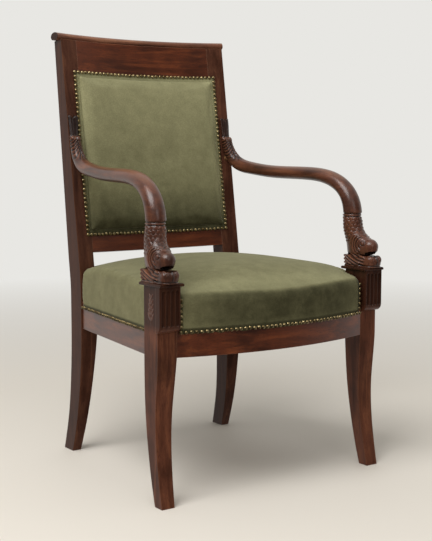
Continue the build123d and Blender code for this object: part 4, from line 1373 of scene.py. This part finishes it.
@dataclass
class Dolphin:
    """Carved dolphin between collar and cap: scaled neck, smooth round snout, open mouth, gills and fins."""

    head_x: float = 253.0
    collar_x: float = 246.0
    collar_y: float = -198.0
    collar_z: float = 537.0
    neck_length: float = 85.0
    voxel: float = 1.0
    depth: float = 2.0
    # Plugs that close the dowel holes
    collar_plug_z: float = 525.0
    jaw_plug_y: float = -214.0
    jaw_plug_z: float = 437.0
    plug_radius: float = 7.0
    plug_length: float = 23.0
    # Forms that the skin takes in, then the hollows, then the oval inside which the mouth's shade is painted
    snout: Oval = Oval(0.0, -244.0, 468.0, (17.0, 20.0, 16.5), 32)
    tongue: Oval = Oval(0.0, -224.0, 449.0, (12.5, 14.0, 7.0))
    eye: Oval = Oval(14.5, -240.0, 475.0, (4.2, 4.2, 4.2))
    lip: Oval = Oval(9.3, -256.0, 440.0, (9.4, 11.5, 10.2), 24)
    cheek: Oval = Oval(13.0, -230.0, 458.0, (6.5, 9.0, 6.0))
    jaw: Oval = Oval(15.5, -232.0, 439.0, (5.0, 18.0, 9.0), 16, -14.0)
    mouth: Oval = Oval(0.0, -264.0, 453.0, (19.0, 28.0, 6.2))
    split: Oval = Oval(0.0, -266.0, 440.0, (2.6, 20.0, 9.5))
    gape: Oval = Oval(0.0, -258.0, 453.5, (20.0, 26.0, 7.0))
    # Darkening of the whole, and painted shade in the open mouth and in the split of the lip
    tone: float = 0.06
    gape_shade: Fade = Fade(1.0, 0.7, 0.45)
    split_shade: Ridge = Ridge(0.0, 2.4, 0.4)
    split_front: Fade = Fade(-245.0, -250.0)
    split_above: Fade = Fade(428.0, 434.0)
    split_below: Fade = Fade(452.0, 449.0)
    # Scales of the neck: their count round it and their rows, and the relief that they are given
    scale_columns: int = 13
    scale_row: float = 7.2
    scale_start_z: float = 440.0
    scale_rise: float = 1.3
    scale_sink: float = 0.8
    # One scale in shares of a row: how far it reaches at its sides and how much farther in the middle, the
    # thickness of its root, its fall to the sides and its free edge
    scale_side: float = 0.92
    scale_tip: float = 0.55
    scale_root: float = 0.3
    scale_fall: float = 0.35
    scale_edge: Fade = Fade(0.0, 0.10)
    # Brow, above which the neck is scaled
    brow_z: float = 474.0
    brow_rise: float = 16.0
    brow_front: Fade = Fade(1.35, 0.60)
    above_brow: Fade = Fade(-2.0, 4.0)
    below_collar: Fade = Fade(530.0, 528.0)
    # Upright walls, the collar's rings and the jaw's foot on the cap
    upright: Fade = Fade(0.98, 0.85)
    rings: tuple[Ridge, ...] = (
        Ridge(535.2, 1.1, -1.6), Ridge(530.4, 1.1, -1.6), Ridge(532.8, 1.5, 0.8), Ridge(428.6, 1.3, -1.4),
    )
    # Eye, its ring and the gill plates
    ring_out: float = 1.0
    pupil: Ridge = Ridge(1.0, 2.6, 0.9)
    eye_ring: Ridge = Ridge(5.4, 1.2, -1.2)
    gill_depth: float = 1.3
    gill_pitch: float = 6.6
    gill_slant: float = 0.22
    gill_behind: Fade = Fade(1.0, 7.0)
    gill_above: Fade = Fade(453.0, 456.0)
    gill_from: Fade = Fade(9.0, 12.0)
    gill_to: Fade = Fade(34.0, 28.0)
    # Hatched rim of the lower lip
    hatch_depth: float = 0.5
    hatch_pitch: float = 4.4
    hatch_front: Fade = Fade(-252.0, -256.0)
    hatch_above: Fade = Fade(438.0, 442.0)
    hatch_below: Fade = Fade(451.0, 449.0)
    hatch_aside: Fade = Fade(3.0, 5.0)
    # Curved ridges of the fins beside the jaw
    fin_depth: float = 1.4
    fin_pitch: float = 6.8
    fin_y: float = -249.0
    fin_z: float = 425.0
    fin_slope: float = 0.10
    fin_curl: float = 0.0045
    fin_behind: Fade = Fade(0.0, 5.0)
    fin_above: Fade = Fade(426.5, 430.0)
    fin_below: Fade = Fade(454.0, 451.0)

    def build(self, carved: Material) -> None:
        """Carve the right dolphin and its mirror image.

        Args:
            carved: the dolphins' finish.
        """
        mesh = node_copy("right_dolphin")
        self.fill_dowel_holes(mesh)
        self.add_features(mesh)
        remesh(mesh, self.voxel, 3)
        self.open_mouth(mesh)
        local = self.local(mesh)
        carve(mesh, self.relief(local, normals_of(mesh)), self.depth, self.stain_and_shade(local))
        show_pair(mesh, "dolphin_carving", carved, crease=75.0, node="dolphin")

    def local(self, mesh: Mesh) -> np.ndarray:
        """Points of the skin, measured across from the head's middle."""
        return points_of(mesh) - np.array((self.head_x, 0.0, 0.0))

    def fill_dowel_holes(self, mesh: Mesh) -> None:
        """Close the dowel holes at the collar and in the jaw.

        Args:
            mesh: the dolphin, which gets the plugs.
        """
        for place in (
            (self.collar_x, self.collar_y, self.collar_plug_z),
            (self.head_x, self.jaw_plug_y, self.jaw_plug_z),
        ):
            bmesh.ops.create_cone(
                mesh, cap_ends=True, segments=24, radius1=self.plug_radius, radius2=self.plug_radius,
                depth=self.plug_length, matrix=Matrix.Translation(place),
            )

    def add_features(self, mesh: Mesh) -> None:
        """Add the snout, tongue, eyes, lower lip, cheeks and jaws before the skin is joined.

        Args:
            mesh: the dolphin, which gets the forms.
        """
        for form in (self.snout, self.tongue, self.eye, self.lip, self.cheek, self.jaw):
            for side in (-1, 1) if form.aside else (1,):
                centre = (self.head_x + side * form.aside, form.y, form.z)
                add_ball(mesh, centre, form.radii, form.faces, form.tilt)

    def open_mouth(self, mesh: Mesh) -> None:
        """Hollow the mouth between the snout and the lower lip, and split the lip into two lobes.

        Args:
            mesh: the skin, moved in place.
        """
        local = self.split.dent(self.mouth.dent(self.local(mesh)))
        set_points(mesh, local + np.array((self.head_x, 0.0, 0.0)))
        smooth(mesh)

    def stain_and_shade(self, local: np.ndarray) -> np.ndarray:
        """Painted shade in the open mouth and in the split lip, over a darkening of the whole.

        Args:
            local: points of the skin, from the head's middle.

        Returns:
            The darkening of each point.
        """
        x, y, z = local.T
        mouth = self.gape_shade.at(np.linalg.norm(self.gape.away(local), axis=1))
        split = self.split_shade.at(x) * self.split_front.at(y)
        split *= self.split_above.at(z) * self.split_below.at(z)
        return mouth + split + self.tone

    def relief(self, local: np.ndarray, normals: np.ndarray) -> np.ndarray:
        """Height of the carving at each point of the skin.

        Args:
            local: points of the skin, from the head's middle.
            normals: its outward directions.

        Returns:
            Distance that each point moves outwards.
        """
        x, y, z = local.T
        # Scales round the neck's bent axis, above the brow
        down = np.clip((self.collar_z - z) / self.neck_length, 0, 1)
        across = x + (1 - down) * (self.head_x - self.collar_x)
        angle = np.arctan2(across, self.collar_y - y)
        brow = self.brow_z + self.brow_rise * self.brow_front.at(np.abs(angle))
        scaled = self.above_brow.at(z - brow) * self.below_collar.at(z)
        height = self.depth * scaled * (self.scale_rise * self.scales(angle, z) - self.scale_sink)
        # Rings of the collar and foot of the jaw
        height += sum(ring.at(z) for ring in self.rings) * self.upright.at(np.abs(normals[:, 2]))
        # Eye in its ring, and gill plates as arcs behind it
        aside = np.abs(x) - self.eye.aside - self.ring_out
        from_eye = np.sqrt(aside**2 + (y - self.eye.y) ** 2 + (z - self.eye.z) ** 2)
        height += self.pupil.at(from_eye) + self.eye_ring.at(from_eye)
        gill = self.gill_behind.at(y - self.eye.y) * self.gill_above.at(z) * (1 - scaled)
        gill *= self.gill_from.at(from_eye) * self.gill_to.at(from_eye)
        arc = from_eye + self.gill_slant * (z - self.eye.z)
        height += self.gill_depth * gill * np.cos(2 * pi * arc / self.gill_pitch)
        # Hatched rim of the lower lip, and the fins, which rise towards the rear
        rim = self.hatch_front.at(y) * self.hatch_above.at(z) * self.hatch_below.at(z)
        rim *= self.hatch_aside.at(np.abs(x))
        height += self.hatch_depth * rim * np.cos(2 * pi * x / self.hatch_pitch)
        back = y - self.fin_y
        beside = self.fin_behind.at(back) * self.fin_below.at(z) * self.fin_above.at(z)
        slant = z - self.fin_z - self.fin_slope * back - self.fin_curl * back**2
        return height + self.fin_depth * beside * np.cos(2 * pi * slant / self.fin_pitch)

    def scales(self, angle: np.ndarray, z: np.ndarray) -> np.ndarray:
        """Broad overlapping scales, their free edges up towards the tail.

        Args:
            angle: places round the neck.
            z: places up it.

        Returns:
            Heights from 0 to 1.
        """
        column = angle / (2 * pi) * self.scale_columns
        row = (z - self.scale_start_z) / self.scale_row
        height = np.zeros_like(z)
        for below in (0, 1):
            index = np.floor(row) - below
            shifted = column - 0.5 * np.mod(index, 2)
            aside = 2.0 * (shifted - np.floor(shifted)) - 1.0
            risen = row - index
            reach = self.scale_side + self.scale_tip * np.cos(0.5 * pi * aside)
            plate = self.scale_root + (1 - self.scale_root) * risen / reach
            plate *= (1 - self.scale_fall * aside**2) * self.scale_edge.at(reach - risen)
            height = np.where(risen < reach, plate, height)
        return height


@dataclass
class PostCarving:
    """Leaf in low relief on the outer face of each front post."""

    face_x: float = 271.3
    spine_y: float = -221.0
    low_z: float = 340.0
    high_z: float = 410.0
    spine_radii: tuple[float, float] = (1.7, 1.6)
    faces: int = 12
    tone: float = 0.36
    # Pairs of leaflets: the bare stem below them and in all, and their sizes from foot to tip
    pairs: int = 5
    foot: float = 8.0
    bare: float = 20.0
    leaflet_depth: float = 1.5
    reach: tuple[float, float] = (10.5, 6.5)
    half_width: tuple[float, float] = (4.0, 2.8)
    spread: tuple[float, float] = (-34.0, -26.0)

    def build(self, carved: Material) -> None:
        """Carve the leaf on both posts.

        Args:
            carved: the leaves' finish.
        """
        mesh = bmesh.new()
        tall = self.high_z - self.low_z
        middle = (self.face_x, self.spine_y, self.low_z + tall / 2)
        add_ball(mesh, middle, (*self.spine_radii, tall / 2), self.faces)
        for i in range(self.pairs):
            share = (i + 0.5) / self.pairs
            reach, half, spread = (a + (b - a) * share for a, b in (self.reach, self.half_width, self.spread))
            z = self.low_z + self.foot + share * (tall - self.bare)
            stem = Vector((self.face_x, self.spine_y, z))
            for side in (-1, 1):
                tilt = side * spread
                centre = stem + Matrix.Rotation(radians(tilt), 3, "X") @ Vector((0, 0, reach))
                add_ball(mesh, centre, (self.leaflet_depth, half, reach), self.faces, tilt)
        set_values(mesh, CARVING, np.full(len(mesh.verts), self.tone))
        show_pair(mesh, "post_leaf", carved, crease=80.0)


@dataclass
class TailCarving:
    """Arm with its tail: two fluted flukes over a cross edge, and a feathered leaf that runs down the arm."""

    tail_x: float = 203.0
    half_width: float = 12.0
    step_z: float = 698.0
    tip_z: float = 640.0
    voxel: float = 1.3
    depth: float = 2.0
    # How far the flukes are flattened onto the stile's front face
    flat: float = 0.58
    flat_above: Fade = Fade(-5.0, 4.0)
    # The tail is darker and the upright lower end is painted darker as shade; the arm's top is paler, from
    # hands' wear and a painted highlight on faces turned up
    end_shade: Fade = Fade(615.0, 570.0, 0.13)
    tail_darkening: Fade = Fade(-8.0, 17.0, 0.35)
    wear_and_highlight: Fade = Fade(0.35, 0.95, 0.28)
    wear_and_highlight_above: Fade = Fade(585.0, 615.0)
    wear_and_highlight_below: Fade = Fade(12.0, 0.0)
    # Flutes that widen up the flukes, the cross edge, and feathers on both sides of a groove
    seen: Fade = Fade(-0.35, 0.05)
    fluke: Fade = Fade(0.0, 2.5)
    flute_depth: float = 0.22
    flute_pitch: float = 4.0
    flute_growth: float = 0.05
    flute_limits: tuple[float, float] = (3.0, 8.0)
    cross_edge: Fade = Fade(-9.0, -3.0, 1.2)
    leaf: Fade = Fade(0.0, 22.0)
    feather: float = 6.2
    feather_slant: float = 15.0
    feather_rise: float = 1.5
    feather_sink: float = 0.6
    groove: Ridge = Ridge(0.0, 0.10, 1.6)

    def build(self, carved: Material) -> None:
        """Carve the tail on both arms.

        Args:
            carved: the arms' finish.
        """
        mesh = node_copy("right_arm")
        remesh(mesh, self.voxel, 2)
        places = points_of(mesh)
        z = places[:, 2]
        before = BEND_Y + RAKE * (z - BEND_Z) - places[:, 1]
        places[:, 1] += self.flat * before * self.flat_above.at(z - self.step_z)
        set_points(mesh, places)
        normals = normals_of(mesh)
        above_tip = z - self.tip_z
        # Faces turned up on the arm's top get wear and a painted highlight, and the upright end gets painted
        # shade
        wear_and_highlight = self.wear_and_highlight.at(normals[:, 2]) * self.wear_and_highlight_above.at(z) * self.wear_and_highlight_below.at(above_tip)
        stain_and_shade = self.end_shade.at(z) + self.tail_darkening.at(above_tip) - wear_and_highlight
        carve(mesh, self.relief(places, normals), self.depth, stain_and_shade)
        show_pair(mesh, "arm_carving", carved, crease=60.0, node="arm")

    def relief(self, places: np.ndarray, normals: np.ndarray) -> np.ndarray:
        """Height of the carving at each point of the arm.

        Args:
            places: points of the arm's skin.
            normals: its outward directions.

        Returns:
            Distance that each point moves outwards.
        """
        x, _, z = places.T
        aside = np.abs(x - self.tail_x) / self.half_width
        fluke = self.fluke.at(z - self.step_z)
        flute = np.clip(self.flute_pitch + self.flute_growth * (z - self.step_z), *self.flute_limits)
        height = self.flute_depth * fluke * np.cos(2 * pi * aside * self.half_width / flute)
        leaf = (1 - fluke) * self.leaf.at(z - self.tip_z)
        row = (z + self.feather_slant * aside) / self.feather
        blade = row - np.floor(row)
        height += leaf * self.depth * (self.feather_rise * blade - self.feather_sink)
        height += (1 - fluke) * self.cross_edge.at(z - self.step_z)
        height -= leaf * self.groove.at(aside)
        return height * self.seen.at(-normals[:, 1])


@dataclass(frozen=True)
class Lamp:
    """Square soft lamp: its name, its place and side in metres, and its power in watts."""

    name: str
    place: Triple
    size: float
    power: float


@dataclass
class Studio:
    """Pale floor, soft light and the camera at the photograph's angle, in metres."""

    eye: Triple = (-1.3423, -1.9629, 0.6696)
    yaw: float = 35.0
    pitch: float = 6.2
    lens: float = 73.757
    sensor: float = 36.0
    aim: Triple = (0.0, 0.0, 0.45)
    lamps: tuple[Lamp, ...] = (
        Lamp("key_lamp", (-1.75, -0.75, 3.0), 1.9, 86.0), Lamp("front_lamp", (-0.6, -3.2, 1.9), 1.2, 9.0),
    )
    floor: str = "#e5ded3"
    wall: str = "#e8e7e3"
    floor_radius: float = 40.0
    # Distances between which the floor turns into the wall's colour
    fade_near: float = 0.9
    fade_far: float = 3.5
    # Level of the room's even light, and of the room before the chair as the polish mirrors it
    fill: float = 0.55
    dim: float = 0.10
    # How far the pale wall and the ceiling reach round, from where they start to where they are full
    wall_reach: tuple[float, float] = (-0.3, 0.4)
    ceiling_reach: tuple[float, float] = (0.35, 0.95)

    def build(self) -> None:
        """Set up the camera, the floor, the world and the lamps."""
        self.build_camera()
        self.build_floor()
        self.build_world()
        self.build_lamps()

    def build_camera(self) -> None:
        """Place the camera."""
        camera = bpy.data.objects.new("camera", bpy.data.cameras.new("camera"))
        camera.location = self.eye
        camera.rotation_euler = (radians(90 - self.pitch), 0.0, radians(-self.yaw))
        camera.data.lens = self.lens
        camera.data.sensor_width = self.sensor
        bpy.context.scene.collection.objects.link(camera)
        bpy.context.scene.camera = camera

    def build_floor(self) -> None:
        """Lay a wide floor in matt pale paint, which turns into the wall's tone far from the chair."""
        mesh = bmesh.new()
        bmesh.ops.create_circle(mesh, cap_ends=True, segments=96, radius=self.floor_radius)
        data = bpy.data.meshes.new("floor")
        mesh.to_mesh(data)
        mesh.free()
        floor = bpy.data.objects.new("floor", data)
        material, tree = new_material("painted_floor")
        add = partial(add_node, tree)
        paint = add("ShaderNodeBsdfPrincipled", {"Base Color": self.floor, "Roughness": 0.7})
        glow = add("ShaderNodeEmission", {"Color": self.wall, "Strength": 1.0})
        place = add("ShaderNodeTexCoord", give="Object")
        far = add("ShaderNodeVectorMath", (place,), operation="LENGTH")
        seen = add("ShaderNodeLightPath", give="Is Camera Ray")
        fade = add("ShaderNodeMapRange", (far, self.fade_near, self.fade_far, 0.0, seen))
        mixed = add("ShaderNodeMixShader", (fade, paint, glow))
        add("ShaderNodeOutputMaterial", {"Surface": mixed})
        data.materials.append(material)
        # The polish mirrors the room that the world draws, not the floor
        floor.visible_glossy = False
        bpy.context.scene.collection.objects.link(floor)

    def build_world(self) -> None:
        """Light the room evenly, with a pale wall behind the chair and a dimmer room before it."""
        world = bpy.data.worlds.new("room")
        world.use_nodes = True
        world.node_tree.nodes.clear()
        add = partial(add_node, world.node_tree)
        rays = add("ShaderNodeLightPath").node.outputs
        way = add("ShaderNodeTexCoord", give="Generated")
        ahead = (sin(radians(self.yaw)), cos(radians(self.yaw)), 0.0)
        behind = add("ShaderNodeVectorMath", (way, ahead), operation="DOT_PRODUCT")
        room = add("ShaderNodeMapRange", (behind, *self.wall_reach, self.dim, 1.0))
        up = add("ShaderNodeSeparateXYZ", (way,), give="Z")
        ceiling = add("ShaderNodeMapRange", (up, *self.ceiling_reach, 0.0, 1.0))
        mirror = add("ShaderNodeMath", (room, ceiling), operation="MAXIMUM")
        sight = (rays["Is Camera Ray"], rays["Is Transmission Ray"])
        seen = add("ShaderNodeMath", sight, operation="MAXIMUM")
        level = add("ShaderNodeMix", {0: seen, 2: self.fill, 3: 1.0})
        level = add("ShaderNodeMix", {0: rays["Is Glossy Ray"], 2: level, 3: mirror})
        wall = add("ShaderNodeBackground", {"Color": self.wall, "Strength": level})
        add("ShaderNodeOutputWorld", {"Surface": wall})
        bpy.context.scene.world = world

    def build_lamps(self) -> None:
        """Hang the lamps, aimed at the chair."""
        for lamp in self.lamps:
            data = bpy.data.lights.new(lamp.name, "AREA")
            data.size = lamp.size
            data.energy = lamp.power
            hung = bpy.data.objects.new(lamp.name, data)
            hung.location = lamp.place
            aim = Vector(self.aim) - Vector(lamp.place)
            hung.rotation_euler = aim.to_track_quat("-Z", "Y").to_euler()
            bpy.context.scene.collection.objects.link(hung)


def main() -> None:
    """Build the studio and every piece of the chair, in order."""
    logging.basicConfig(level=logging.INFO, format="%(name)s %(message)s")
    bpy.context.scene.view_settings.view_transform = "Standard"
    Studio().build()
    WoodFrame().dress()
    carved = Mahogany("carved_mahogany", Grain.UPRIGHT, carved=True).material()
    Dolphin().build(carved)
    PostCarving().build(carved)
    TailCarving().build(Mahogany("carved_mahogany_arm", Grain.DEEP, carved=True).material())
    velvet = Velvet().material()
    seat = SeatUpholstery()
    seat.build_cover(velvet)
    webbing = PlainWeave("jute_webbing", thread="#a58b62", shade="#5d4a30", pitch_mm=2.6)
    seat.build_webbing(webbing.material())
    hessian = PlainWeave("jute_hessian", thread="#8f7752", shade="#4c3c26", pitch_mm=2.2)
    seat.build_hessian(hessian.material())
    back = BackUpholstery()
    back.build_pad(velvet)
    back.build_outer(velvet)
    brass = AgedBrass().material()
    # Darker brass for the nails on the sides and the rear: more tarnish, and painted shade
    shaded_tarnished = AgedBrass("shaded_tarnished_brass", bright="#877650", tarnish="#44341e").material()
    nails = BrassNails()
    nails.build_seat(seat, brass, shaded_tarnished)
    nails.build_back(back, brass)


if __name__ == "__main__":
    main()
